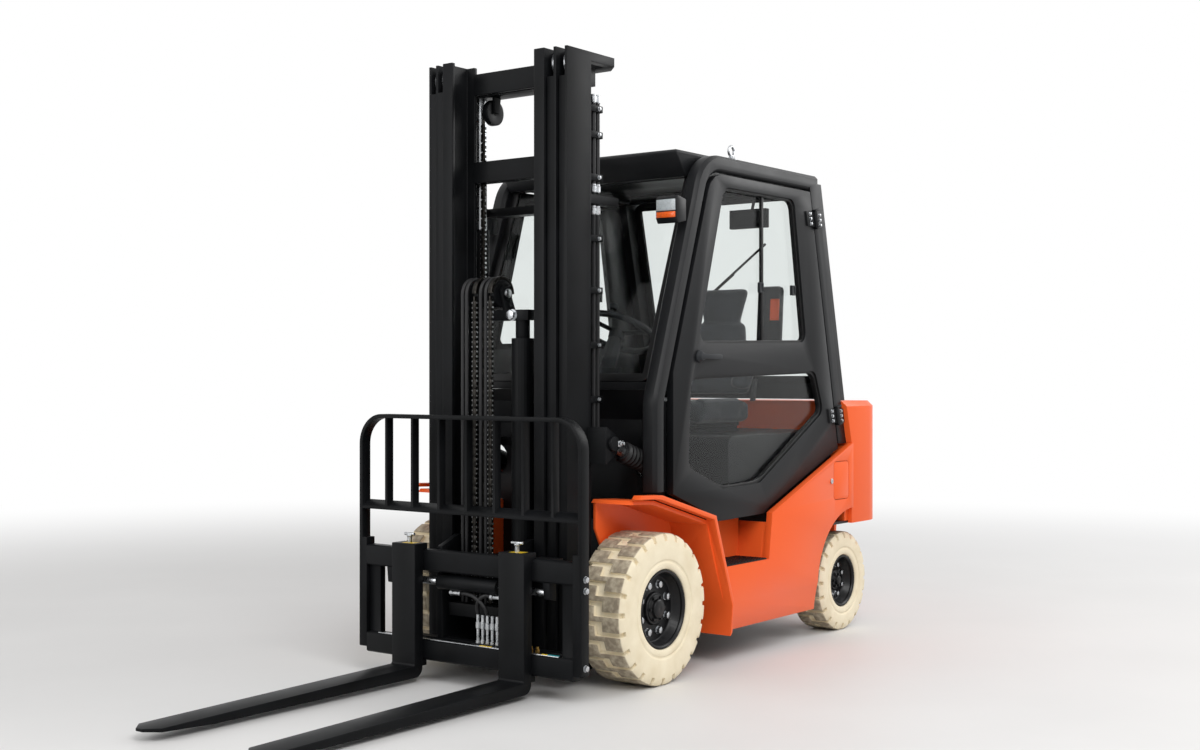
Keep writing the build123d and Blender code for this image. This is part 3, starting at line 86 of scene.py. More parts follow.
NODES = frame["nodes"]
SLOTS = {s["node"]: s["material_slot"] for s in frame["record"]["subparts"]}
FRONT_AXLE_X = sum(corner[0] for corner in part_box("tyre_front_left")) / 2
MM = 0.001
SIDES = (("left", 1), ("right", -1))
ACROSS = Vector((0, 1, 0))
FORWARD = Vector((1, 0, 0))
UP = Vector((0, 0, 1))

# Wheels: places in millimetres; each end's lugs, nut ring, nut size and hub radius
RIM_INSET = 14
DISH_DEPTH = 46
WHEELS = (("front", 24, 96, 24, 62), ("rear", 20, 74, 20, 46))
TREAD_BAND = 0.18
TREAD_SHOULDER = 26
WASHER_T = 1.6

# Body: places taken over from the solids, in millimetres, x from the front axle
SKIN_OUT = 576
FLAP_FRONT = -1379
FLAP_LOCK_Z = 706
STEP_REAR = -800
STEP_FRONT = -446
STEP_IN = 420
STEP_OUT = 570
STEP_Z = 407

# Mast: rails, rollers, chains, sheaves and hoses
OUTER_X = 156
MIDDLE_X = 166
RAIL_DEPTH = 150
ROLLER_R = 56
ROLLER_Z = 2370
ROLLER_STAGES = (("mast", OUTER_X, 312, 340), ("mast_middle", MIDDLE_X, 264, 294))
CHAIN_W = 20
CHAIN_HALF_T = 7
CHAIN_PITCH = 38
CHAIN_FOOT = 300
LIFT_CHAIN_X = 342
LIFT_CHAIN_Y = (-75.5, 5.5)
LIFT_CHAIN_TOP = 1505
MAST_CHAIN_X = 165.3
MAST_CHAIN_Y = (185, -185)
MAST_CHAIN_FOOT = CHAIN_FOOT + CHAIN_PITCH
MAST_CHAIN_TOP = 2252
MAST_SHEAVE_X = 106
MAST_SHEAVE_R = 52
SHEAVE_X = 280
SHEAVE_Y = (-75.5, -48.5, -21.5, 5.5)
SHEAVE_Z = LIFT_CHAIN_TOP
SHEAVE_R = 54
SHEAVE_GROOVE = 5
SHEAVE_PIN_Y = 39
CROSSHEAD_BOLT = (288, 70, 1420)
HOSE_RUN_X = LIFT_CHAIN_X - 4
HOSE_RUN_Y = (-48.5, -21.5, -120, -141)
HOSE_R = 8
RAIL_HOSE_X = (118, 92)
RAIL_HOSE_Y = 334
RAIL_HOSE_R = 9
UPPER_HOSE_Z = (1890, 2270)
FERRULE_Z = (950, 1806, 1890, 2236)
CLIP_Z = (1080, 1290, 1500, 1700, 1935, 2100, 2200)
CLIP_Y = (318, 350)
CLIP_TALL = 26

# Carriage, sideshift, forks and tilt cylinders
CARRIER_BOLT_X = 467
CARRIER_SIDE_Y = 560
CARRIER_BOLT_Z = (134, 412, 453)
SHIFT_X = 458
SHIFT_Z = 390
SHIFT_ROD_Y = (150.5, 379.5)
STRIP_X = (478, 489.5)
STRIP_HALF = 455
STRIP_T = 3.5
STRIP_TOP = 168
STRIP_SINK = 0.4
PAD_Y = (403, 452)
MARKS_Y = ((75, 132), (374, 400))
TAIL_Y = 139
TAIL_PITCH = 24
ELBOW_X = 462
ELBOW_Y = (-92, 110)
ELBOW_Z = 352
SHIFT_LOOPS = (
    ((462, -41, 352), (466, -10, 355), (472, 30, 350), (474, 64, 334), (468, 86, 310), (458, 91, 278)),
    ((462, 111, 352), (468, 92, 358), (474, 72, 348), (472, 52, 326), (464, 43, 304), (458, 43, 278)))
UNION_X = 456
UNION_Y = (300, 330)
FORK_Y = 272
FORK_HEAD = 536
LOCK_X = 502
TILT_Y = 400
TILT_PIN = (130, 0, 925)
TILT_ANCHOR = (-330, 0, 775)
BOOT_FOOT = 203
BOOT_PITCH = 23.5

# Cab: doors, glass, lamps, wiper and mirror; wiper places are (y, z) on the rear pane
DOOR_IN = 512
DOOR_OUT = 542
HANDLE = (-300, 1262)
HINGES = ((-1455.4, 1000), (-1249.6, 1885))
PILLAR_LEAN = 0.2325
PILLAR_HEAD = (-1322, 2049)
DIVIDER_X = -830
DIVIDER_Z = (1326, 1948)
LATCH_X = (DIVIDER_X + 26, DIVIDER_X - 250)
LATCH_Z = 1560
EYE_X = -612
EYE_Y = 505
LAMP_X = -150
LAMP_Y = 490
LAMP_HALF = 50
LAMP_LOW = 1785
LAMP_TOP = 1895
WIPER_BOSS = (-260, 1480)
WIPER_TIP = (30, 1668)
WIPER_BLADE = ((-150, 1551), (225, 1800))
MIRROR = ((-1130, 190, 1850), (-1098, 380, 1935))
MIRROR_STALK = ((-1115, 300, 1930), (-1115, 330, 2056))

# Seat, steering wheel and console
SEAT_REAR = -1240
SEAT_FRONT = -790
SEAT_HALF = 245
SEAT_FOOT = 970
SEAT_TOP = 1080
BACK_HALF = 215
BACK_TOP = 1440
WING_TOP = 1330
HEAD_HALF = 96
HEAD_TOP = 1602
PAD_SWELL = 8
PAD_VOXEL = 6
SWELL_FRAMES = 20
DECK_TOP = 930
PLINTH_HALF = 180
PLINTH_GROOVE = (DECK_TOP + 12, DECK_TOP + 26)
BELT_GUIDE = ((-1368, 195, 1330), (-1312, 318, 1600))
BELT_TAG = ((-1330, 272, 1440), (-1317, 316, 1540))
COLUMN_FOOT = (-300, 0, 1000)
COLUMN_HEAD = (-500, 0, 1370)
WHEEL_R = 165
GRIP_R = 14
SPOKE = (130, 30, 9)
SPOKE_REACH = 95
DISPLAY = ((-212, 60, 1130), (-188, 230, 1218))
LEVER_X = -290
LEVER_Y = (-150, -202, -254, -306)
LEVER_FOOT = 1104
FLOOR_MAT = ((-630, -330, 600), (-190, 330, 606))

# Stage: camera in millimetres from the front axle; lamps (with their watts) and floor in metres
CAMERA = (4828.4, 3878.5, 1186.6)
CAMERA_TURN = (90.009, 0, 126.7155)
LIGHTS = (("key", (3.5, 5.0, 5.5), 300), ("front", (7.0, -2.0, 3.5), 190), ("rear", (-5.0, 3.0, 4.5), 180))
LIGHT_SIZE = 4.0
FLOOR_SIZE = 80
FADE_REACH = (3.0, 9.0)
WHITE = (1, 1, 1, 1)


def at(x, y, z):
    """A point in millimetres, x from the front axle, as metres in the frame."""
    return Vector((FRONT_AXLE_X + x * MM, y * MM, z * MM))


def linear(hex_colour, alpha=1.0):
    """An sRGB hex value as linear red, green, blue and alpha."""
    channels = [int(hex_colour[i:i + 2], 16) / 255 for i in (0, 2, 4)]
    return (*[c / 12.92 if c <= 0.04045 else ((c + 0.055) / 1.055) ** 2.4 for c in channels], alpha)


def node(tree, kind, links=None, **settings):
    """Adds one shader node, sets its values and links its inputs."""
    made = tree.nodes.new(kind)
    for key, value in settings.items():
        if key in made.inputs:
            made.inputs[key].default_value = value
        else:
            setattr(made, key, value)
    for key, source in (links or {}).items():
        tree.links.new(source, made.inputs[key])
    return made


def finish(name, hex_colour, roughness, metallic=0.0, coat=0.0, gloss=0.5):
    """A fresh material with one Principled shader set to its plain values."""
    material = bpy.data.materials.new(name)
    material.use_nodes = True
    material.diffuse_color = linear(hex_colour)
    shader = material.node_tree.nodes["Principled BSDF"]
    shader.inputs["Base Color"].default_value = linear(hex_colour)
    shader.inputs["Roughness"].default_value = roughness
    shader.inputs["Metallic"].default_value = metallic
    shader.inputs["Coat Weight"].default_value = coat
    shader.inputs["Coat Roughness"].default_value = 0.12
    shader.inputs["Specular IOR Level"].default_value = gloss
    return material.node_tree, shader


def weathered(tree, shader, tones, blotch_mm, rough, grain_mm, grain_depth_mm, grain_strength=0.2):
    """Colour and roughness that drift over a surface, with the fine grain of how it was made."""
    place = node(tree, "ShaderNodeTexCoord").outputs["Object"]
    drift = node(tree, "ShaderNodeTexNoise", {"Vector": place}, Scale=1000.0 / blotch_mm, Detail=4.0)
    share = node(tree, "ShaderNodeMapRange", {"Value": drift.outputs["Fac"]},
                 **{"From Min": 0.3, "From Max": 0.7})
    mix = node(tree, "ShaderNodeMix", {"Factor": share.outputs["Result"]}, data_type="RGBA")
    mix.inputs["A"].default_value = linear(tones[0])
    mix.inputs["B"].default_value = linear(tones[1])
    tree.links.new(mix.outputs["Result"], shader.inputs["Base Color"])
    sheen = node(tree, "ShaderNodeMapRange", {"Value": drift.outputs["Fac"]},
                 **{"From Min": 0.3, "From Max": 0.7, "To Min": rough[0], "To Max": rough[1]})
    tree.links.new(sheen.outputs["Result"], shader.inputs["Roughness"])
    grain = node(tree, "ShaderNodeTexNoise", {"Vector": place}, Scale=1000.0 / grain_mm, Detail=3.0)
    raised = node(tree, "ShaderNodeBump", {"Height": grain.outputs["Fac"]}, Strength=grain_strength,
                  Distance=grain_depth_mm * MM)
    tree.links.new(raised.outputs["Normal"], shader.inputs["Normal"])
    return place, mix


def orange_enamel(colour):
    # Two-coat enamel on pressed steel: even colour, faint orange peel, a clear gloss.
    tree, shader = finish("orange_enamel", colour, 0.36, coat=0.05, gloss=0.2)
    weathered(tree, shader, (colour, "EF6229"), 380, (0.32, 0.40), 9, 0.2, 0.1)


def mast_enamel():
    # Thick black enamel on rolled channels: oily sheen that drifts along the rails.
    tree, shader = finish("mast_enamel", "0B0C0D", 0.42, gloss=0.1)
    weathered(tree, shader, ("090A0B", "111214"), 160, (0.36, 0.48), 6, 0.2, 0.12)


def cab_powder_coat():
    # Powder coat on tube and sheet: fine even grain, low sheen.
    tree, shader = finish("cab_powder_coat", "121315", 0.44, gloss=0.2)
    weathered(tree, shader, ("101113", "17181A"), 240, (0.38, 0.5), 3, 0.1, 0.07)


def non_marking_rubber(name, centre, radius):
    # Pale tyre compound: dull cream walls, the lug faces rubbed grey-brown by the floor.
    tree, shader = finish(name, "E9DDC0", 0.75, gloss=0.25)
    place, cream = weathered(tree, shader, ("E2D5B8", "EEE3C9"), 70, (0.68, 0.82), 4, 0.3, 0.2)
    shift = node(tree, "ShaderNodeMapping", {"Vector": place}, Location=[-c for c in centre])
    flat = node(tree, "ShaderNodeVectorMath", {0: shift.outputs["Vector"]}, operation="MULTIPLY")
    flat.inputs[1].default_value = (1, 0, 1)
    reach = node(tree, "ShaderNodeVectorMath", {0: flat.outputs["Vector"]}, operation="LENGTH")
    worn = node(tree, "ShaderNodeMapRange", {"Value": reach.outputs["Value"]},
                **{"From Min": radius - 6 * MM, "From Max": radius - 2.5 * MM})
    dust = node(tree, "ShaderNodeTexNoise", {"Vector": place}, Scale=1000 / 25, Detail=5.0)
    dirty = node(tree, "ShaderNodeMapRange", {"Value": dust.outputs["Fac"]},
                 **{"From Min": 0.25, "From Max": 0.6, "To Min": 0.45, "To Max": 1.0})
    share = node(tree, "ShaderNodeMath", {0: worn.outputs["Result"], 1: dirty.outputs["Result"]},
                 operation="MULTIPLY")
    mix = node(tree, "ShaderNodeMix", {"Factor": share.outputs[0], "A": cream.outputs["Result"]},
               data_type="RGBA")
    mix.inputs["B"].default_value = linear("8F8371")
    tree.links.new(mix.outputs["Result"], shader.inputs["Base Color"])


def rim_enamel():
    # Semi-gloss black over pressed steel discs.
    tree, shader = finish("rim_enamel", "0E0E0F", 0.36, gloss=0.25)
    weathered(tree, shader, ("0C0C0D", "141416"), 50, (0.3, 0.42), 4, 0.2, 0.15)


def cast_iron():
    # Sand-cast grain under thin black paint.
    tree, shader = finish("cast_iron", "1B1B1D", 0.58, gloss=0.25)
    weathered(tree, shader, ("171718", "232325"), 60, (0.5, 0.68), 3, 0.4, 0.4)


def zinc_plate():
    # Zinc-plated or ground steel: bright, slightly blotched where it was handled.
    tree, shader = finish("zinc_plate", "BDBFC1", 0.3, 1.0)
    weathered(tree, shader, ("A7AAAD", "CDCFD1"), 18, (0.22, 0.38), 1.5, 0.03, 0.15)


def oiled_chain_steel():
    # Chain plates under a film of oil: dark, with brighter rubbed patches.
    tree, shader = finish("oiled_chain_steel", "242322", 0.38, 1.0)
    weathered(tree, shader, ("171615", "383633"), 14, (0.32, 0.48), 2, 0.1, 0.2)


def moulded_abs():
    # Moulded dark grey trim with a pebbled grain, drawn coarser than life so that it shows.
    tree, shader = finish("moulded_abs", "1F2123", 0.55, gloss=0.25)
    weathered(tree, shader, ("1C1E20", "25272A"), 150, (0.5, 0.62), 2.2, 0.1, 0.1)


def woven_seat_cloth():
    # Woven seat cloth: dark grey ribs, drawn 5 mm apart so that they still show.
    tree, shader = finish("woven_seat_cloth", "33363B", 0.85, gloss=0.2)
    shader.inputs["Sheen Weight"].default_value = 0.3
    place = weathered(tree, shader, ("2C2F34", "3C3F45"), 40, (0.8, 0.92), 3, 0.3, 0.3)[0]
    ribs = node(tree, "ShaderNodeTexWave", {"Vector": place}, Scale=1000 / 5.0 / (2 * pi), Distortion=0.6,
                Detail=1.0, bands_direction="Y")
    raised = node(tree, "ShaderNodeBump", {"Height": ribs.outputs["Fac"]}, Strength=0.35, Distance=0.5 * MM)
    tree.links.new(raised.outputs["Normal"], shader.inputs["Normal"])


def laminated_glass():
    # Laminated cab glass: clear, with the faintest grey of its inner film.
    shader = finish("laminated_glass", "EFF2F1", 0.015)[1]
    shader.inputs["Transmission Weight"].default_value = 1.0
    shader.inputs["IOR"].default_value = 1.18


def polycarbonate(name, hex_colour):
    # Moulded lamp lens: prismatic ribs a few millimetres wide under a gloss skin; the colour is painted
    # darker in each rib's hollow, as painted shade.
    tree, shader = finish(name, hex_colour, 0.2, coat=0.3, gloss=0.4)
    place = node(tree, "ShaderNodeTexCoord").outputs["Object"]
    cells = node(tree, "ShaderNodeTexVoronoi", {"Vector": place}, Scale=1000 / 7.0)
    raised = node(tree, "ShaderNodeBump", {"Height": cells.outputs["Distance"]}, Strength=0.6,
                  Distance=1.2 * MM)
    tree.links.new(raised.outputs["Normal"], shader.inputs["Normal"])
    # Painted shade: the lens colour drops to three quarters in the hollow of each cell, where the bump is
    # lowest.
    painted_hollow_shade = node(tree, "ShaderNodeMapRange", {"Value": cells.outputs["Distance"]},
                **{"From Max": 0.6, "To Min": 0.75, "To Max": 1.0})
    tone = node(tree, "ShaderNodeMix", data_type="RGBA", blend_type="MULTIPLY", Factor=1.0)
    tone.inputs["A"].default_value = linear(hex_colour)
    tree.links.new(painted_hollow_shade.outputs["Result"], tone.inputs["B"])
    tree.links.new(tone.outputs["Result"], shader.inputs["Base Color"])


def wrapped_hose_rubber():
    # Hydraulic hose cover and boots: matt black rubber with a cloth-wrapped finish.
    tree, shader = finish("wrapped_hose_rubber", "121213", 0.5, gloss=0.35)
    weathered(tree, shader, ("0F0F10", "19191B"), 20, (0.42, 0.58), 2.5, 0.3, 0.3)


def battery_paint():
    # Flat dark grey acid-proof paint.
    tree, shader = finish("battery_paint", "2B2D30", 0.6, gloss=0.3)
    weathered(tree, shader, ("26282B", "323438"), 90, (0.55, 0.68), 4, 0.2, 0.2)


def yellow_paint():
    # Yellow paint dabbed on wear points: slightly uneven, satin.
    tree, shader = finish("yellow_paint", "D9B51E", 0.5)
    weathered(tree, shader, ("C9A516", "E2C02C"), 15, (0.42, 0.58), 3, 0.2, 0.2)


def teal_nylon():
    # Turned nylon slide pads: waxy blue-green.
    tree, shader = finish("teal_nylon", "1F7F86", 0.45)
    weathered(tree, shader, ("1A747B", "278A91"), 20, (0.4, 0.5), 3, 0.1, 0.2)


def brass_fitting():
    # Brass hydraulic fittings: warm and a little tarnished.
    tree, shader = finish("brass_fitting", "B08D4A", 0.34, 1.0)
    weathered(tree, shader, ("94743A", "BE9C58"), 8, (0.28, 0.45), 2, 0.05, 0.15)


def gasket_rubber():
    # Window gasket rubber: near-black, soft sheen.
    tree, shader = finish("gasket_rubber", "0C0C0D", 0.5, gloss=0.25)
    weathered(tree, shader, ("0A0A0B", "121213"), 60, (0.42, 0.58), 4, 0.1, 0.2)


MATERIALS = {
    "orange_paint": "orange_enamel", "mast_black": "mast_enamel", "black_paint": "cab_powder_coat",
    "rim_black": "rim_enamel", "axle_grey": "cast_iron", "bright_steel": "zinc_plate",
    "chain_steel": "oiled_chain_steel", "cab_plastic": "moulded_abs", "seat_fabric": "woven_seat_cloth",
    "clear_glass": "laminated_glass", "lamp_lens": "clear_lens", "hose_rubber": "wrapped_hose_rubber",
    "battery_case": "battery_paint",
}


def painted(piece, slot, material=None):
    """Gives a piece the finish of a record slot, or a named material within that slot."""
    piece.data.materials.clear()
    piece.data.materials.append(bpy.data.materials[material or MATERIALS[slot]])


def activate(piece):
    """Makes a piece the one selected and active object."""
    bpy.ops.object.select_all(action="DESELECT")
    piece.select_set(True)
    bpy.context.view_layer.objects.active = piece


@contextmanager
def editing(piece, kind="FACE"):
    """Edit mode on a piece with nothing selected."""
    activate(piece)
    bpy.ops.object.mode_set(mode="EDIT")
    bpy.ops.mesh.select_mode(type=kind)
    bpy.ops.mesh.select_all(action="DESELECT")
    yield
    bpy.ops.object.mode_set(mode="OBJECT")


def pick_faces(piece, test):
    """Selects the faces whose centre and normal pass a test, while in edit mode."""
    bpy.ops.mesh.select_all(action="DESELECT")
    bpy.ops.object.mode_set(mode="OBJECT")
    for face in piece.data.polygons:
        face.select = bool(test(face.center, face.normal))
    bpy.ops.object.mode_set(mode="EDIT")


def block(low, high):
    """A cube stretched between two corners in millimetres from the front axle."""
    bpy.ops.object.select_all(action="DESELECT")
    a, b = at(*low), at(*high)
    bpy.ops.mesh.primitive_cube_add(size=1, location=(a + b) / 2)
    piece = bpy.context.object
    piece.scale = b - a
    bpy.ops.object.transform_apply()
    return piece


def round_bar(start, end, radius, sides=24):
    """A cylinder between two points in millimetres from the front axle."""
    bpy.ops.object.select_all(action="DESELECT")
    a, b = at(*start), at(*end)
    turn = (b - a).to_track_quat("Z", "Y").to_euler()
    bpy.ops.mesh.primitive_cylinder_add(vertices=sides, radius=radius * MM, depth=(b - a).length,
                                        location=(a + b) / 2, rotation=turn)
    bpy.ops.object.transform_apply()
    return bpy.context.object


def drawn(points):
    """A line through points of the frame, made by extruding one vertex."""
    bpy.ops.object.select_all(action="DESELECT")
    bpy.ops.mesh.primitive_plane_add(size=0.01, location=points[0])
    piece = bpy.context.object
    bpy.ops.object.transform_apply()
    with editing(piece, "VERT"):
        bpy.ops.mesh.select_all(action="SELECT")
        bpy.ops.mesh.merge(type="CENTER")
        for before, after in zip(points, points[1:]):
            bpy.ops.mesh.extrude_region_move(TRANSFORM_OT_translate={"value": after - before})
    return piece


def hose(points, radius):
    """A bent hose: a line given a skin and smoothed by subdivision."""
    piece = drawn([at(*point) for point in points])
    bpy.ops.object.modifier_add(type="SKIN")
    for vertex in piece.data.skin_vertices[0].data:
        vertex.radius = (radius * MM, radius * MM)
    bpy.ops.object.modifier_apply(modifier=piece.modifiers[0].name)
    smooth = piece.modifiers.new("round", "SUBSURF")
    smooth.levels = 2
    bpy.ops.object.modifier_apply(modifier=smooth.name)
    return piece


def turned(section, origin, axis, steps=48):
    """A section of (along, radius) points in millimetres, drawn as a line and spun about an axis."""
    side = axis.orthogonal().normalized()
    piece = drawn([origin + axis * (a * MM) + side * (r * MM) for a, r in section])
    with editing(piece, "VERT"):
        bpy.ops.mesh.select_all(action="SELECT")
        bpy.ops.mesh.spin(steps=steps, angle=2 * pi, center=origin, axis=axis)
        bpy.ops.mesh.select_all(action="SELECT")
        bpy.ops.mesh.remove_doubles(threshold=1e-5)
        bpy.ops.mesh.normals_make_consistent(inside=False)
    return piece


def rounded(piece, width_mm, segments=2, angle=35):
    """Rounds the sharp edges of a piece and applies it."""
    bevel = piece.modifiers.new("edge", "BEVEL")
    bevel.width = width_mm * MM
    bevel.segments = segments
    bevel.limit_method = "ANGLE"
    bevel.angle_limit = radians(angle)
    activate(piece)
    bpy.ops.object.modifier_apply(modifier=bevel.name)
    return piece


def placed(piece, name, body, slot, round_mm=0.0, material=None, smooth=40):
    """Finishes a piece: rounded edges, smooth shading, its material, its body and its slot."""
    if round_mm:
        rounded(piece, round_mm)
    piece.name = name
    piece.data.name = name
    activate(piece)
    bpy.ops.object.shade_smooth_by_angle(angle=radians(smooth))
    painted(piece, slot, material)
    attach(piece, body)
    return piece


def joined(pieces):
    """Several pieces made one."""
    bpy.ops.object.select_all(action="DESELECT")
    for piece in pieces:
        piece.select_set(True)
    bpy.context.view_layer.objects.active = pieces[0]
    if len(pieces) > 1:
        bpy.ops.object.join()
    return pieces[0]


def scattered(template, spots):
    """Copies of a piece modelled at the origin along +Z, one at each (point, direction), joined."""
    copies = []
    for point, direction in spots:
        copy = bpy.data.objects.new(template.name, template.data.copy())
        bpy.context.scene.collection.objects.link(copy)
        copy.matrix_world = Matrix.Translation(point) @ direction.to_track_quat("Z", "Y").to_matrix().to_4x4()
        copies.append(copy)
    bpy.context.view_layer.update()
    whole = joined(copies)
    activate(whole)
    bpy.ops.object.transform_apply()
    bpy.data.objects.remove(template)
    return whole


def hex_bolt(across_mm, tall_mm):
    """A hexagon head on its washer, standing on the origin along +Z."""
    bpy.ops.object.select_all(action="DESELECT")
    radius = across_mm / 2 * MM
    bpy.ops.mesh.primitive_cylinder_add(vertices=12, radius=radius * 1.35, depth=WASHER_T * MM,
                                        location=(0, 0, WASHER_T / 2 * MM))
    washer = bpy.context.object
    bpy.ops.object.transform_apply()
    bpy.ops.mesh.primitive_cylinder_add(vertices=6, radius=radius * 1.155, depth=tall_mm * MM,
                                        location=(0, 0, (WASHER_T + tall_mm / 2) * MM))
    head = bpy.context.object
    bpy.ops.object.transform_apply()
    with editing(head):
        pick_faces(head, lambda c, n: n.z > 0.9)
        bpy.ops.mesh.inset(thickness=radius * 0.28)
        bpy.ops.transform.translate(value=(0, 0, tall_mm * 0.12 * MM))
    return joined([head, washer])


def bolt_circle(centre, out, along, ring, count, phase=0.0):
    """Places and direction of bolts on a ring round a wheel's axis."""
    spots = []
    for step in range(count):
        turn = (step + phase) * 2 * pi / count
        spot = centre + (FORWARD * cos(turn) + UP * sin(turn)) * (ring * MM)
        spots.append((spot + out * (along * MM), out))
    return spots


def ring_section(reach, wide, tall, steps):
    """A closed round or oval section whose middle is at a reach from the axis."""
    turns = [step * 2 * pi / steps for step in range(steps + 1)]
    return [(wide * sin(turn), reach + tall * cos(turn)) for turn in turns]


def recessed(piece, test, rim_mm, depth_mm):
    """Sinks the chosen faces of a piece inside a rim."""
    with editing(piece):
        pick_faces(piece, test)
        bpy.ops.mesh.inset(thickness=rim_mm * MM)
        bpy.ops.mesh.extrude_region_shrink_fatten(TRANSFORM_OT_shrink_fatten={"value": -depth_mm * MM})


def studded(pad, cuts, gap_mm, stud_mm):
    """Covers the top of a mat with rows of square studs."""
    with editing(pad):
        pick_faces(pad, lambda c, n: n.z > 0.9)
        bpy.ops.mesh.subdivide(number_cuts=cuts)
        bpy.ops.mesh.inset(thickness=gap_mm * MM, use_individual=True)
        bpy.ops.mesh.extrude_faces_move(TRANSFORM_OT_shrink_fatten={"value": stud_mm * MM})


def leaning_block(low, high, x_shift, top_share=1.0):
    """A block whose upper face is moved back and widened or drawn in, as a seat back leans."""
    piece = block(low, high)
    with editing(piece):
        pick_faces(piece, lambda c, n: n.z > 0.9)
        bpy.ops.transform.translate(value=(x_shift * MM, 0, 0))
        bpy.ops.transform.resize(value=(1, top_share, 1))
    return piece


def merged_copy(node_name, name):
    """A copy of a solid under a name of its own, its loose triangles merged into whole faces."""
    piece = bpy.data.objects.new(name, NODES[node_name].data.copy())
    bpy.context.scene.collection.objects.link(piece)
    with editing(piece):
        bpy.ops.mesh.select_all(action="SELECT")
        bpy.ops.mesh.remove_doubles(threshold=2e-5)
        bpy.ops.mesh.dissolve_limited(angle_limit=radians(0.6))
    return piece


def softened(node_name, round_mm, segments=2, angle=35):
    """A copy of a solid with its edges rounded, standing for it."""
    name = node_name + "_shell"
    piece = rounded(merged_copy(node_name, name), round_mm, segments, angle)
    placed(piece, name, body_of(NODES[node_name])[0], SLOTS[node_name])
    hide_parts(node_name)


class FORKLIFT_PG_settings(bpy.types.PropertyGroup):
    enamel: bpy.props.StringProperty(
        name="Enamel", description="Body colour as an sRGB hex value", default="EE5F29")
    floor_colour: bpy.props.StringProperty(
        name="Floor", description="Floor colour as an sRGB hex value", default="D8D7D6")
    edge: bpy.props.FloatProperty(
        name="Panel edge", description="Rounding of the body panels' edges", default=3 * MM, unit="LENGTH")
    groove: bpy.props.FloatProperty(
        name="Tread groove", description="Depth of the tyre grooves", default=16 * MM, unit="LENGTH")
    lens_mm: bpy.props.FloatProperty(
        name="Lens", description="Focal length on a 36 mm frame", default=45.87, unit="CAMERA")


class FORKLIFT_OT_finishes(bpy.types.Operator):
    """Makes every finish and gives each solid whose slot has a finish that finish"""
    bl_idname = "forklift.finishes"
    bl_label = "Finishes"

    def execute(self, context):
        bpy.ops.object.select_all(action="DESELECT")
        orange_enamel(context.scene.forklift.enamel)
        for make in (mast_enamel, cab_powder_coat, rim_enamel, cast_iron, zinc_plate, oiled_chain_steel,
                     moulded_abs, woven_seat_cloth, laminated_glass, wrapped_hose_rubber, battery_paint,
                     yellow_paint, teal_nylon, brass_fitting, gasket_rubber):
            make()
        polycarbonate("clear_lens", "B4BBBE")
        polycarbonate("amber_lens", "F0631C")
        for name, target in NODES.items():
            if SLOTS[name] in MATERIALS:
                painted(target, SLOTS[name])
        return {"FINISHED"}


def tyre_section(half, radius, bore):
    """Outline of a solid tyre from its inner bead over the tread to its outer bead."""
    wall = [(half - 18, bore + 1), (half - 6, bore + 2), (half - 1, bore + 9), (half - 1, bore + 26),
            (half - 4, bore + 29), (half - 4, bore + 36), (half, bore + 40), (half, radius - 30),
            (half - 4, radius - 12), (half - 13, radius - 1)]
    crown = [(half * share, radius) for share in (0.55, TREAD_BAND, -TREAD_BAND, -0.55)]
    return wall + crown + [(-a, r) for a, r in reversed(wall)] + [wall[0]]


def moulded_tyre(name, body, groove, lugs):
    """A solid tyre whose grooves zigzag across the tread and run out through the shoulders."""
    low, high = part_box(name)
    centre = Vector([(a + b) / 2 for a, b in zip(low, high)])
    half = (high[1] - low[1]) / 2 / MM
    radius = (high[2] - low[2]) / 2 / MM
    rim_low, rim_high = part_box(name.replace("tyre", "rim"))
    bore = (rim_high[2] - rim_low[2]) / 2 / MM
    steps = 4 * lugs
    piece = turned(tyre_section(half, radius, bore), centre, ACROSS, steps)

    def in_groove(spot, normal):
        along = (spot.y - centre.y) / MM
        reach = hypot(spot.x - centre.x, spot.z - centre.z) / MM
        step = int((atan2(spot.z - centre.z, spot.x - centre.x) % (2 * pi)) / (2 * pi) * steps) % 4
        if reach < radius - TREAD_SHOULDER:
            return False
        if abs(along) < half * TREAD_BAND:
            return step <= 2
        return step == (0 if along > 0 else 2)

    with editing(piece):
        pick_faces(piece, in_groove)
        bpy.ops.mesh.extrude_region_shrink_fatten(TRANSFORM_OT_shrink_fatten={"value": -groove})
    rounded(piece, 2.5, 2, 40)
    material = name + "_compound"
    non_marking_rubber(material, centre, radius * MM)
    placed(piece, name + "_moulded", body, "tyre_cream", material=material)
    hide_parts(name)
    return centre, half, bore


class FORKLIFT_OT_wheels(bpy.types.Operator):
    """Grooved pale tyres, enamelled rims, wheel nuts and hub caps"""
    bl_idname = "forklift.wheels"
    bl_label = "Wheels"

    def execute(self, context):
        for side_name, side in SIDES:
            for end, lugs, nut_ring, nut_size, hub in WHEELS:
                corner = f"{end}_{side_name}"
                body = f"wheel_{corner}"
                centre, half, rim = moulded_tyre(f"tyre_{corner}", body, context.scene.forklift.groove, lugs)
                softened(f"rim_{corner}", 4, 3)
                out = ACROSS * side
                lip = half - RIM_INSET
                dish = lip - DISH_DEPTH
                ring = turned([(lip - 4, rim - 1), (lip + 7, rim - 2), (lip + 7, rim - 9),
                               (lip - 2, rim - 15), (lip - 8, rim - 13), (lip - 4, rim - 1)], centre, out, 64)
                placed(ring, f"rim_lip_{corner}", body, "rim_black", 1.5)
                cap = turned([(dish + 14, hub - 8), (dish + 20, hub - 10), (dish + 22, hub - 24),
                              (dish + 34, hub - 26), (dish + 38, hub - 32), (dish + 38, 0.5),
                              (dish + 14, 0.5)], centre, out, 48)
                placed(cap, f"hub_cap_{corner}", body, "rim_black", 1.5)
                nuts = scattered(hex_bolt(nut_size, 15),
                                 bolt_circle(centre, out, dish - 0.5, nut_ring, 8, 0.5))
                placed(nuts, f"wheel_nuts_{corner}", body, "bright_steel")
                studs = scattered(hex_bolt(11, 6), bolt_circle(centre, out, dish + 20, hub - 16, 6))
                placed(studs, f"hub_bolts_{corner}", body, "rim_black")
        return {"FINISHED"}


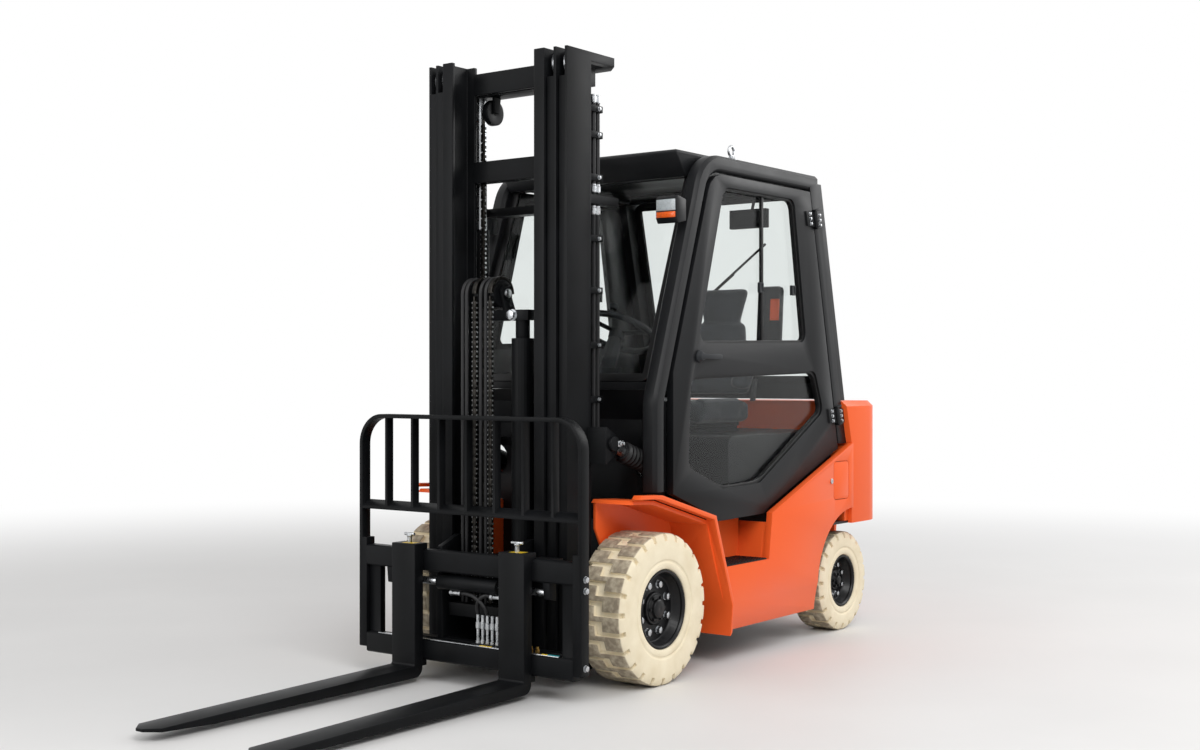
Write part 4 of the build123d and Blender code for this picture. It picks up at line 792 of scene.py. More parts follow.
class FORKLIFT_OT_body(bpy.types.Operator):
    """Body panels with rounded edges, step pads and the flap's lock"""
    bl_idname = "forklift.body"
    bl_label = "Body"

    def execute(self, context):
        edge = context.scene.forklift.edge / MM
        for name in ("side_panel_left", "side_panel_right"):
            softened(name, edge)
        softened("counterweight", 9, 3, 30)
        softened("charge_flap", 1.5)
        for name in ("chassis_frame", "seat_deck", "front_cowl"):
            softened(name, edge)
        softened("dash_console", 6, 3)
        for name in ("drive_axle", "steer_axle", "knuckle_left", "knuckle_right"):
            softened(name, 3, 2, 40)
        for side_name, side in SIDES:
            pad = block((STEP_REAR + 10, side * STEP_IN, STEP_Z),
                        (STEP_FRONT - 14, side * STEP_OUT, STEP_Z + 4))
            studded(pad, 12, 3, 2.5)
            placed(pad, f"step_pad_{side_name}", "chassis", "cab_plastic", material="gasket_rubber",
                   smooth=25)
        lock = turned([(0, 12), (3, 12), (4, 10.5), (4, 5), (2.5, 4.5), (2.5, 0.3)],
                      at(FLAP_FRONT + 22, SKIN_OUT, FLAP_LOCK_Z), ACROSS)
        placed(lock, "flap_lock", "chassis", "bright_steel")
        return {"FINISHED"}


def repeated(piece, count, step_mm):
    """A row of copies of a piece going up, made by an array."""
    row = piece.modifiers.new("row", "ARRAY")
    row.count = count
    row.use_relative_offset = False
    row.use_constant_offset = True
    row.constant_offset_displace = (0, 0, step_mm * MM)
    activate(piece)
    bpy.ops.object.modifier_apply(modifier=row.name)


def leaf_chain(x, y, foot, head):
    """A leaf chain: outer and inner plates in turn, and the bright pins that join them."""
    plates = []
    for shift, width in ((0, 0.5), (CHAIN_PITCH / 2, 0.2)):
        plate = block((x - CHAIN_HALF_T, y - CHAIN_W * width, foot + shift),
                      (x + CHAIN_HALF_T, y + CHAIN_W * width, foot + shift + CHAIN_PITCH * 0.94))
        with editing(plate, "EDGE"):
            bpy.ops.mesh.select_all(action="SELECT")
            bpy.ops.mesh.bevel(offset=3.5 * MM, segments=2)
        plates.append(plate)
    link = joined(plates)
    count = int((head - foot) / CHAIN_PITCH - 0.5)
    repeated(link, count, CHAIN_PITCH)
    reach, pin_z = CHAIN_W / 2 + 2.5, foot + CHAIN_PITCH / 4
    pin = round_bar((x, y - reach, pin_z), (x, y + reach, pin_z), 4.2, 10)
    with editing(pin):
        pick_faces(pin, lambda c, n: abs(n.y) > 0.9)
        bpy.ops.mesh.inset(thickness=1.2 * MM)
    repeated(pin, 2 * count, CHAIN_PITCH / 2)
    return link, pin


def chain_pair(name, x, rows, foot, head, body):
    """Two leaf chains on a body of the mast, their plates and pins each made one piece, standing for the
    solid chains.
    """
    links, pins = zip(*[leaf_chain(x, y, foot, head) for y in rows])
    for kind, parts, slot in (("plates", links, "chain_steel"), ("pins", pins, "bright_steel")):
        piece = placed(joined(parts), f"{name}_{kind}", body, slot)
        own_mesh(piece)
        if kind == "plates":
            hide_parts(f"{name}s")


def sheave(centre, radius, width):
    """A grooved wheel on a pin that runs across the mast."""
    half, root = width / 2, radius - SHEAVE_GROOVE
    return turned([(-half, 12), (-half, radius - 2), (-half + 1.5, radius), (-half + 3, radius),
                   (-half + 5, root), (half - 5, root), (half - 3, radius), (half - 1.5, radius),
                   (half, radius - 2), (half, 12), (-half, 12)], centre, ACROSS, 56)


def over_sheave(section, y):
    """A band or hose spun round a sheave of the free-lift head, with its lower half taken off."""
    band = turned(section, at(SHEAVE_X, y, SHEAVE_Z), ACROSS, 40)
    with editing(band):
        pick_faces(band, lambda c, n: c.z < SHEAVE_Z * MM)
        bpy.ops.mesh.delete(type="FACE")
    return band


def hose_run(x, y, foot, head, radius):
    """An upright hose with a rim round each cut end."""
    run = round_bar((x, y, foot), (x, y, head), radius, 16)
    with editing(run):
        pick_faces(run, lambda c, n: abs(n.z) > 0.9)
        bpy.ops.mesh.inset(thickness=2 * MM)
    return run


class FORKLIFT_OT_mast(bpy.types.Operator):
    """Rails with eased edges, rollers, chains, sheaves, hoses and their fittings"""
    bl_idname = "forklift.mast"
    bl_label = "Mast"

    def execute(self, context):
        for name, width in (("mast_outer", 2.5), ("mast_middle", 2.5), ("mast_inner", 2.5),
                            ("free_lift_head", 1.5), ("carriage", 3), ("fork_carrier", 3),
                            ("load_backrest", 2), ("fork_left", 4), ("fork_right", 4)):
            softened(name, width, 2, 40)
        self.rollers()
        self.chains()
        self.hoses()
        self.carrier()
        self.shift_fittings()
        for side_name, side in SIDES:
            self.fork_lock(side_name, side)
        for side_name, side in SIDES:
            self.tilt_gear(side_name, side)
        return {"FINISHED"}

    def rollers(self):
        """Bright guide rollers in the notches at the rail heads."""
        for side_name, side in SIDES:
            for body, x, lip, web in ROLLER_STAGES:
                start = at(x + RAIL_DEPTH / 2, side * (lip + 3), ROLLER_Z)
                wide = web - lip - 4
                roller = turned([(0, 16), (1, ROLLER_R - 3), (4, ROLLER_R + 0.5), (wide - 2, ROLLER_R + 0.5),
                                 (wide, ROLLER_R - 2), (wide, 16)], start, ACROSS * side, 56)
                placed(roller, f"{body}_head_roller_{side_name}", body, "bright_steel")

    def chains(self):
        """Leaf chains, the bands that carry them over the sheaves, and the sheaves."""
        chain_pair("lift_chain", LIFT_CHAIN_X, LIFT_CHAIN_Y, CHAIN_FOOT, LIFT_CHAIN_TOP,
                   "carriage")
        chain_pair("mast_chain", MAST_CHAIN_X, MAST_CHAIN_Y, MAST_CHAIN_FOOT, MAST_CHAIN_TOP,
                   "mast_inner")
        band = [(-10, 54.5), (-10, 68), (10, 68), (10, 54.5), (-10, 54.5)]
        wraps = [over_sheave(band, y) for y in LIFT_CHAIN_Y]
        placed(joined(wraps), "lift_chain_wraps", "free_lift_head", "chain_steel", 1)
        wheels = [sheave(at(SHEAVE_X, y, SHEAVE_Z), SHEAVE_R, 21) for y in SHEAVE_Y]
        placed(joined(wheels), "sheave_cluster", "free_lift_head", "mast_black", 1)
        cap = turned([(0, 17.5), (6, 17.5), (8, 15), (8, 6), (6, 5), (6, 0.3)],
                     at(SHEAVE_X, SHEAVE_PIN_Y, SHEAVE_Z), ACROSS)
        placed(cap, "sheave_pin_cap", "free_lift_head", "bright_steel")
        wheels = [sheave(at(MAST_SHEAVE_X, y, MAST_CHAIN_TOP), MAST_SHEAVE_R, 25) for y in MAST_CHAIN_Y]
        placed(joined(wheels), "mast_sheaves", "mast_middle", "mast_black", 1)
        bolt = scattered(hex_bolt(34, 16), [(at(*CROSSHEAD_BOLT), FORWARD)])
        placed(bolt, "crosshead_bolt", "free_lift_head", "bright_steel")

    def hoses(self):
        """Hose runs beside the chains and behind the left rail, with clips and crimped fittings."""
        runs = [hose_run(HOSE_RUN_X, y, CHAIN_FOOT, LIFT_CHAIN_TOP, HOSE_R) for y in HOSE_RUN_Y]
        piece = placed(joined(runs), "carriage_hoses", "carriage", "hose_rubber")
        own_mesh(piece)
        bend = ring_section(HOSE_RUN_X - SHEAVE_X, HOSE_R, HOSE_R, 16)
        bends = joined([over_sheave(bend, y) for y in HOSE_RUN_Y])
        with editing(bends):
            bpy.ops.mesh.select_all(action="SELECT")
            bpy.ops.mesh.fill_holes(sides=0)
        placed(bends, "hose_bends", "free_lift_head", "hose_rubber")
        uppers = [hose_run(x, RAIL_HOSE_Y, *UPPER_HOSE_Z, RAIL_HOSE_R) for x in RAIL_HOSE_X]
        placed(joined(uppers), "upper_rail_hoses", "mast", "hose_rubber")
        ferrule = [(0, 9.5), (4, 12), (26, 12), (28, 10), (34, 10), (34, 9)]
        ferrules = [turned(ferrule, at(x, RAIL_HOSE_Y, z), UP, 12) for x in RAIL_HOSE_X for z in FERRULE_Z]
        placed(joined(ferrules), "rail_hose_ferrules", "mast", "bright_steel", smooth=25)
        clips = [block((RAIL_HOSE_X[1] - 15, CLIP_Y[0], z), (OUTER_X, CLIP_Y[1], z + CLIP_TALL))
                 for z in CLIP_Z]
        placed(joined(clips), "rail_hose_clips", "mast", "mast_black", 3)
        middle = sum(RAIL_HOSE_X) / 2
        spots = [(at(middle, CLIP_Y[1], z + CLIP_TALL / 2), ACROSS) for z in CLIP_Z]
        placed(scattered(hex_bolt(12, 7), spots), "rail_clip_bolts", "mast", "bright_steel")

    def carrier(self):
        """Side bolts, the bright shift rod, the slide strip and the marks on it."""
        spots = [(at(CARRIER_BOLT_X, side * CARRIER_SIDE_Y, z), ACROSS * side)
                 for side in (-1, 1) for z in CARRIER_BOLT_Z]
        placed(scattered(hex_bolt(19, 9), spots), "carrier_bolts", "sideshift", "bright_steel")
        rods = []
        for side in (-1, 1):
            start, end = [(SHIFT_X, side * y, SHIFT_Z) for y in SHIFT_ROD_Y]
            rods.append(round_bar(start, end, 14.5, 32))
        placed(joined(rods), "shift_rod", "sideshift", "bright_steel", 1)
        rear, front = STRIP_X
        strip = block((rear, -STRIP_HALF, STRIP_TOP - STRIP_T), (front, STRIP_HALF, STRIP_TOP))
        placed(strip, "slide_strip", "sideshift", "bright_steel", 1)
        pad = block((rear, PAD_Y[0], STRIP_TOP - STRIP_SINK), (front, PAD_Y[1], STRIP_TOP + 3))
        placed(pad, "lower_slide_pad", "sideshift", "cab_plastic", 1, "teal_nylon")
        dabs = [block((rear, low, STRIP_TOP - STRIP_SINK), (front, high, STRIP_TOP + 2))
                for low, high in MARKS_Y]
        placed(joined(dabs), "pad_marks", "sideshift", "cab_plastic", 1, "yellow_paint")

    def shift_fittings(self):
        """The row of hose tails on its plate, the elbows, the hoses that join them, and brass unions."""
        tail = [(0, 5), (0, 9), (14, 9), (16, 6.5), (58, 6.5), (60, 9.5), (84, 9.5), (86, 7), (112, 7),
                (112, 3)]
        tails = [turned(tail, at(SHIFT_X, TAIL_Y - step * TAIL_PITCH, STRIP_TOP), UP, 12)
                 for step in range(5)]
        placed(joined(tails), "hose_tails", "sideshift", "bright_steel", smooth=25)
        plate = block((SHIFT_X - 12, TAIL_Y - 4 * TAIL_PITCH - 24, STRIP_TOP - 4),
                      (SHIFT_X + 16, TAIL_Y + 22, STRIP_TOP + 4))
        placed(plate, "hose_plate", "sideshift", "mast_black", 2)
        elbow = [(0, 6), (0, 11), (12, 11), (14, 8), (40, 8), (42, 10), (52, 10), (52, 4)]
        elbows = [turned(elbow, at(ELBOW_X, y, ELBOW_Z), ACROSS, 12) for y in ELBOW_Y]
        placed(joined(elbows), "shift_elbows", "sideshift", "bright_steel", smooth=25)
        loops = [hose(points, 8.5) for points in SHIFT_LOOPS]
        placed(joined(loops), "shift_hoses", "sideshift", "hose_rubber", smooth=60)
        union = [(0, 4), (0, 9), (10, 9), (12, 6), (22, 6), (22, 3)]
        unions = [turned(union, at(UNION_X, y, STRIP_TOP - 3), UP, 6) for y in UNION_Y]
        placed(joined(unions), "brass_unions", "sideshift", "bright_steel", material="brass_fitting",
               smooth=25)

    def fork_lock(self, side_name, side):
        """A lifting lock pin on a fork's head, and the paint under it."""
        y = side * FORK_Y
        body = f"fork_{side_name}"
        stem = turned([(0, 9), (26, 9), (27, 12), (34, 12), (35, 9), (38, 8), (38, 0.4)],
                      at(LOCK_X, y, FORK_HEAD - 2), UP, 24)
        bar = round_bar((LOCK_X, y - 26, FORK_HEAD + 34), (LOCK_X, y + 26, FORK_HEAD + 34), 5.5, 16)
        placed(joined([stem, bar]), f"fork_lock_pin_{side_name}", body, "bright_steel", 1)
        dab = block((LOCK_X - 18, y - 22, FORK_HEAD - 0.4), (LOCK_X + 20, y + 36, FORK_HEAD + 0.6))
        with editing(dab):
            pick_faces(dab, lambda c, n: n.z > 0.9)
            bpy.ops.mesh.inset(thickness=4 * MM)
        placed(dab, f"fork_hook_mark_{side_name}", body, "mast_black", material="yellow_paint")

    def tilt_gear(self, side_name, side):
        """A tilt cylinder's ribbed boot, barrel and clamp, and the lock of its pin on the mast."""
        run = at(*TILT_PIN) - at(*TILT_ANCHOR)
        along = run.normalized()
        body = f"tilt_barrel_{side_name}"
        foot = at(TILT_ANCHOR[0], side * TILT_Y, TILT_ANCHOR[2])
        ribs = [(BOOT_FOOT, 21)]
        for step in range(7):
            start = BOOT_FOOT + step * BOOT_PITCH
            ribs += [(start, 33), (start + 6, 43), (start + 13, 43), (start + 19, 33)]
        ribs += [(371, 31), (372, 21), (BOOT_FOOT, 21)]
        boot = turned(ribs, foot, along, 40)
        placed(boot, f"tilt_boot_{side_name}", body, "hose_rubber", smooth=50)
        tube = turned([(38, 20), (38, 40), (42, 44), (196, 44), (200, 40), (206, 36), (206, 21), (60, 21),
                       (38, 20)], foot, along, 40)
        eye = turned([(-16, 14.6), (-16, 28), (-14, 30), (14, 30), (16, 28), (16, 14.6), (-16, 14.6)],
                     foot, ACROSS, 40)
        neck = turned([(20, 13), (20, 18), (42, 22), (42, 13), (20, 13)], foot, along, 24)
        barrel = placed(joined([tube, eye, neck]), f"tilt_barrel_body_{side_name}", body, "mast_black", 1)
        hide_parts(f"tilt_barrel_{side_name}")
        clamp = turned([(199, 35), (199, 42), (209, 42), (209, 35), (199, 35)], foot, along, 40)
        placed(clamp, f"tilt_clamp_{side_name}", body, "bright_steel")
        x, z = TILT_PIN[0], TILT_PIN[2]
        head = turned([(-10, 30), (2, 30), (5, 27), (5, 0.4)],
                      at(x, side * (TILT_Y + 44), z), ACROSS * side, 36)
        placed(head, f"tilt_pin_head_{side_name}", "mast", "mast_black", 1)
        plate = block((x - 50, side * (TILT_Y + 47), z - 11), (x - 14, side * (TILT_Y + 52), z + 11))
        placed(plate, f"tilt_lock_plate_{side_name}", "mast", "bright_steel", 2)
        spots = [(at(x + shift, side * (TILT_Y + 52), z), ACROSS * side) for shift in (-42, -22)]
        placed(scattered(hex_bolt(11, 6), spots), f"tilt_lock_bolts_{side_name}", "mast", "bright_steel")


def gasket(source, name, body, keep, corner_mm, wide_mm, deep_mm):
    """A rubber frame drawn from a pane: its outer face kept, corners rounded, inset, opened and raised."""
    piece = merged_copy(source, name)
    with editing(piece):
        pick_faces(piece, lambda c, n: not keep(c, n))
        bpy.ops.mesh.delete(type="FACE")
        bpy.ops.mesh.select_all(action="SELECT")
        bpy.ops.mesh.bevel(offset=corner_mm * MM, segments=6, affect="VERTICES", clamp_overlap=True)
        bpy.ops.mesh.select_all(action="SELECT")
        bpy.ops.mesh.inset(thickness=wide_mm * MM, use_individual=True)
        bpy.ops.mesh.delete(type="FACE")
        bpy.ops.mesh.select_all(action="SELECT")
        bpy.ops.mesh.extrude_region_shrink_fatten(TRANSFORM_OT_shrink_fatten={"value": deep_mm * MM})
        bpy.ops.mesh.select_all(action="SELECT")
        bpy.ops.mesh.normals_make_consistent(inside=False)
    placed(piece, name, body, "hose_rubber", 2, "gasket_rubber")


class FORKLIFT_OT_cab(bpy.types.Operator):
    """Cab frame and doors with eased edges, gaskets, handles, hinges, lamps, wiper and mirror"""
    bl_idname = "forklift.cab"
    bl_label = "Cab"

    def execute(self, context):
        for name in ("cab_frame", "door_left", "door_right", "roof_panel"):
            softened(name, 3, 2, 40)
        self.eyes()
        gasket("cab_glass", "windscreen_gasket", "chassis", lambda c, n: n.x > 0.7, 40, 34, 7)
        gasket("cab_glass", "rear_window_gasket", "chassis", lambda c, n: n.x < -0.7, 40, 34, 6)
        for side_name, side in SIDES:
            self.door_gear(side_name, side)
            self.hinge_bolts(side_name, side)
            self.lamp(side_name, side)
        self.wiper()
        self.mirror()
        return {"FINISHED"}

    def eyes(self):
        """Bright forged lifting rings on their feet along the roof rails."""
        low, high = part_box("lifting_eyes")
        ring_z, foot_z = high[2] / MM - 26, low[2] / MM - 4
        for side_name, side in SIDES:
            y = side * EYE_Y
            ring = turned(ring_section(20, 7, 6, 10), at(EYE_X, y, ring_z), ACROSS, 40)
            foot = turned([(0, 22), (6, 22), (8, 18), (16, 12), (20, 9), (20, 0.4), (0, 0.4)],
                          at(EYE_X, y, foot_z), UP, 32)
            eye = placed(joined([ring, foot]), f"lifting_ring_{side_name}", "chassis", "bright_steel")
            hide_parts("lifting_eyes")

    def door_gear(self, side_name, side):
        """A door's gasket, window divider, latches and lever."""
        body = f"door_{side_name}"
        gasket(f"door_{side_name}_glass", f"door_gasket_{side_name}", body, lambda c, n: n.y * side > 0.9,
               58, 26, 22)
        bar = block((DIVIDER_X - 9, side * (DOOR_IN + 0.5), DIVIDER_Z[0]),
                    (DIVIDER_X + 9, side * (DOOR_IN + 14), DIVIDER_Z[1]))
        placed(bar, f"window_divider_{side_name}", body, "hose_rubber", 3, "gasket_rubber")
        latches = []
        for x in LATCH_X:
            latch = block((x - 16, side * (DOOR_IN + 13), LATCH_Z - 22),
                          (x + 16, side * (DOOR_IN + 27), LATCH_Z + 22))
            recessed(latch, lambda c, n: n.y * side > 0.9, 6, 4)
            latches.append(latch)
        placed(joined(latches), f"window_latches_{side_name}", body, "cab_plastic", 2)
        x, z = HANDLE
        boss = turned([(0, 26), (6, 26), (9, 22), (18, 18), (20, 14), (20, 0.4)],
                      at(x - 10, side * DOOR_OUT, z), ACROSS * side, 32)
        lever = block((x - 140, side * (DOOR_OUT + 9), z - 11), (x - 4, side * (DOOR_OUT + 21), z + 11))
        with editing(lever):
            pick_faces(lever, lambda c, n: n.x < -0.9)
            bpy.ops.mesh.extrude_region_move(TRANSFORM_OT_translate={"value": (-26 * MM, -side * 8 * MM, 0)})
            bpy.ops.transform.resize(value=(1, 0.8, 0.7))
        placed(joined([boss, lever]), f"door_lever_{side_name}", body, "cab_plastic", 3)

    def hinge_bolts(self, side_name, side):
        """Three bolts through each leaf of each hinge, in line with the leaning pillar."""
        for level, (x, z) in enumerate(HINGES):
            for name, body, shift, proud in (("hinge", f"door_{side_name}", 46, 8),
                                             ("pillar", "chassis", -44, 6)):
                y = side * (DOOR_OUT + proud)
                spots = [(at(x + shift + rise * PILLAR_LEAN, y, z + rise), ACROSS * side)
                         for rise in (-22, 0, 22)]
                bolts = scattered(hex_bolt(12, 6), spots)
                placed(bolts, f"{name}_bolts_{side_name}_{level}", body, "bright_steel")

    def lamp(self, side_name, side):
        """A lamp case split into a clear upper lens and an amber lower one."""
        case = merged_copy("work_lamps", "lamp_case")
        with editing(case):
            pick_faces(case, lambda c, n: c.y * side < 0)
            bpy.ops.mesh.delete(type="FACE")
        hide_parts("work_lamps")
        placed(case, f"lamp_case_{side_name}", "chassis", "black_paint", 4)
        low_y, high_y = side * LAMP_Y - LAMP_HALF + 6, side * LAMP_Y + LAMP_HALF - 6
        middle = (LAMP_LOW + LAMP_TOP) / 2 - 8
        for kind, low, high in (("clear", middle + 2, LAMP_TOP - 16), ("amber", LAMP_LOW + 22, middle - 2)):
            lens = block((LAMP_X - 18, low_y, low), (LAMP_X + 5, high_y, high))
            with editing(lens):
                pick_faces(lens, lambda c, n: n.x > 0.9)
                bpy.ops.mesh.inset(thickness=7 * MM)
                bpy.ops.transform.translate(value=(3 * MM, 0, 0))
            placed(lens, f"lamp_{kind}_{side_name}", "chassis", "lamp_lens", 2, f"{kind}_lens")

    def wiper(self):
        """Rear window wiper: motor boss, arm and blade, set off from the leaning pane."""
        def off_glass(spot, out):
            y, z = spot
            return (PILLAR_HEAD[0] - PILLAR_LEAN * (PILLAR_HEAD[1] - z) + 24 - out, y, z)

        boss = turned([(-2, 24), (10, 24), (16, 18), (24, 14), (26, 10), (26, 0.4)],
                      at(*off_glass(WIPER_BOSS, 0)), -FORWARD, 32)
        arm = round_bar(off_glass(WIPER_BOSS, 18), off_glass(WIPER_TIP, 11), 5, 12)
        low, high = [off_glass(spot, 5.5) for spot in WIPER_BLADE]
        blade = round_bar(low, high, 6, 8)
        placed(joined([boss, arm, blade]), "rear_wiper", "chassis", "cab_plastic", 1.5, "gasket_rubber")

    def mirror(self):
        """Inside mirror on a short stalk under the roof rail."""
        shell = block(*MIRROR)
        recessed(shell, lambda c, n: n.x > 0.9, 7, 4)
        stalk = round_bar(*MIRROR_STALK, 7, 16)
        placed(joined([shell, stalk]), "inside_mirror", "chassis", "cab_plastic", 5)


def cushion(name, parts, stands_for):
    """A padded piece: the parts fused by a voxel remesh, blown up as cloth, capped and smoothed."""
    pad = joined(parts)
    activate(pad)
    fuse = pad.modifiers.new("fuse", "REMESH")
    fuse.mode = "VOXEL"
    fuse.voxel_size = PAD_VOXEL * MM
    bpy.ops.object.modifier_apply(modifier=fuse.name)
    rest = [vertex.co.copy() for vertex in pad.data.vertices]
    cloth = pad.modifiers.new("swell", "CLOTH")
    cloth.settings.use_pressure = True
    cloth.settings.uniform_pressure_force = 4
    cloth.settings.effector_weights.gravity = 0
    cloth.point_cache.frame_start = 1
    cloth.point_cache.frame_end = SWELL_FRAMES
    for step in range(1, SWELL_FRAMES + 1):
        bpy.context.scene.frame_set(step)
    bpy.ops.object.modifier_apply(modifier=cloth.name)
    bpy.context.scene.frame_set(1)
    for vertex, start in zip(pad.data.vertices, rest):
        moved = vertex.co - start
        if moved.length > PAD_SWELL * MM:
            vertex.co = start + moved.normalized() * (PAD_SWELL * MM)
    smooth = pad.modifiers.new("soft", "SMOOTH")
    smooth.iterations = 10
    bpy.ops.object.modifier_apply(modifier=smooth.name)
    placed(pad, name, "chassis", "seat_fabric", smooth=60)
    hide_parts(stands_for)


class FORKLIFT_OT_cabin(bpy.types.Operator):
    """Padded seat, its belt, the steering wheel and the console's controls"""
    bl_idname = "forklift.cabin"
    bl_label = "Cabin"

    def execute(self, context):
        self.seat()
        self.seat_mount()
        self.wheel()
        self.console()
        return {"FINISHED"}

    def seat(self):
        """Cushion with side rolls, and a leaning back with wings and a headrest."""
        base = block((SEAT_REAR + 10, -SEAT_HALF + 16, SEAT_FOOT + 10),
                     (SEAT_FRONT - 10, SEAT_HALF - 16, SEAT_TOP - 14))
        rolls = [block((SEAT_REAR + 60, side * (SEAT_HALF - 70), SEAT_TOP - 40),
                       (SEAT_FRONT - 30, side * (SEAT_HALF - 12), SEAT_TOP - 4)) for side in (-1, 1)]
        for part, width in ((base, 22), (rolls[0], 14), (rolls[1], 14)):
            rounded(part, width, 3)
        cushion("seat_cushion_pad", [base, *rolls], "seat_cushion")
        back = leaning_block((SEAT_REAR - 20, -BACK_HALF, SEAT_TOP + 12),
                             (SEAT_REAR + 52, BACK_HALF, BACK_TOP), -116, 0.62)
        wings = [leaning_block((SEAT_REAR - 6, side * 140, SEAT_TOP + 40),
                               (SEAT_REAR + 74, side * (BACK_HALF + 11), WING_TOP), -92) for side in (-1, 1)]
        head = leaning_block((SEAT_REAR - 130, -HEAD_HALF, BACK_TOP - 30),
                             (SEAT_REAR - 72, HEAD_HALF, HEAD_TOP), -14, 1.4)
        for part, width in ((back, 34), (wings[0], 30), (wings[1], 30), (head, 27)):
            rounded(part, width, 5)
        cushion("seat_back_pad", [back, *wings, head], "seat_back")

    def seat_mount(self):
        """Grooved plinth under the seat, the belt's buckle, and its guide behind the seat."""
        plinth = block((SEAT_REAR + 40, -PLINTH_HALF, DECK_TOP),
                       (SEAT_FRONT - 50, PLINTH_HALF, SEAT_FOOT + 12))
        low, high = PLINTH_GROOVE
        with editing(plinth):
            for z in PLINTH_GROOVE:
                bpy.ops.mesh.select_all(action="SELECT")
                bpy.ops.mesh.bisect(plane_co=at(0, 0, z), plane_no=UP)
            pick_faces(plinth, lambda c, n: abs(n.z) < 0.1 and low * MM < c.z < high * MM)
            bpy.ops.mesh.extrude_region_shrink_fatten(TRANSFORM_OT_shrink_fatten={"value": -8 * MM})
        placed(plinth, "seat_plinth", "chassis", "cab_plastic", 3)
        buckle = leaning_block((SEAT_REAR + 40, SEAT_HALF + 7, SEAT_TOP - 10),
                               (SEAT_REAR + 66, SEAT_HALF + 23, SEAT_TOP + 90), -18)
        recessed(buckle, lambda c, n: n.z > 0.9, 3, 6)
        placed(buckle, "belt_buckle", "chassis", "cab_plastic", 3)
        guide = leaning_block(*BELT_GUIDE, -20)
        placed(guide, "belt_guide", "chassis", "cab_plastic", 20)
        tag = leaning_block(*BELT_TAG, -7)
        placed(tag, "belt_tag", "chassis", "orange_paint", 3)

    def wheel(self):
        """Steering wheel: moulded rim, three spokes, hub and spinner knob."""
        head = at(*COLUMN_HEAD)
        axis = (head - at(*COLUMN_FOOT)).normalized()
        grip = turned(ring_section(WHEEL_R, GRIP_R, GRIP_R, 12), head, axis, 72)
        hub = turned([(-30, 20), (-30, 34), (-6, 36), (6, 34), (9, 28), (9, 0.4)], head, axis, 40)
        turn = axis.to_track_quat("Z", "X").to_matrix()
        spokes = []
        for step in range(3):
            angle = pi / 2 + step * 2 * pi / 3
            out = turn @ Vector((cos(angle), sin(angle), 0))
            bpy.ops.object.select_all(action="DESELECT")
            bpy.ops.mesh.primitive_cube_add(size=1)
            spoke = bpy.context.object
            stand = Matrix((out, axis.cross(out), axis)).transposed().to_4x4()
            size = Matrix.Diagonal((*[side * MM for side in SPOKE], 1))
            spoke.matrix_world = Matrix.Translation(head + out * (SPOKE_REACH * MM)) @ stand @ size
            activate(spoke)
            bpy.ops.object.transform_apply()
            spokes.append(rounded(spoke, 3))
        whole = placed(joined([grip, hub, *spokes]), "steering_wheel_moulding", "steering_wheel",
                       "cab_plastic")
        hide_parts("steering_wheel")
        knob_foot = head + turn @ Vector((cos(0.4), sin(0.4), 0)) * (WHEEL_R * MM)
        knob = turned([(10, 6), (22, 6), (26, 16), (36, 21), (46, 20), (52, 12), (54, 0.4)],
                      knob_foot, axis, 32)
        placed(knob, "spinner_knob", "steering_wheel", "cab_plastic")

    def console(self):
        """Display on the dash, a row of lever knobs and a floor mat."""
        screen = block(*DISPLAY)
        recessed(screen, lambda c, n: n.x < -0.9, 8, 3)
        placed(screen, "dash_display", "chassis", "cab_plastic", 3)
        lever = [(0, 7), (40, 6), (84, 5), (88, 10), (112, 16), (126, 15), (136, 9), (138, 0.4)]
        lean = Vector((-0.35, 0, 1)).normalized()
        knobs = [turned(lever, at(LEVER_X, y, LEVER_FOOT), lean, 20) for y in LEVER_Y]
        placed(joined(knobs), "lever_knobs", "chassis", "cab_plastic")
        mat = block(*FLOOR_MAT)
        studded(mat, 14, 4, 2)
        placed(mat, "floor_mat", "chassis", "cab_plastic", material="gasket_rubber", smooth=25)


def seen_white(tree):
    """One for rays that are seen, straight or through mirrors and glass, and none for those that light."""
    rays = node(tree, "ShaderNodeLightPath").outputs
    seen = rays["Is Camera Ray"]
    for kind in ("Is Glossy Ray", "Is Transmission Ray"):
        seen = node(tree, "ShaderNodeMath", {0: seen, 1: rays[kind]}, operation="MAXIMUM").outputs[0]
    return seen


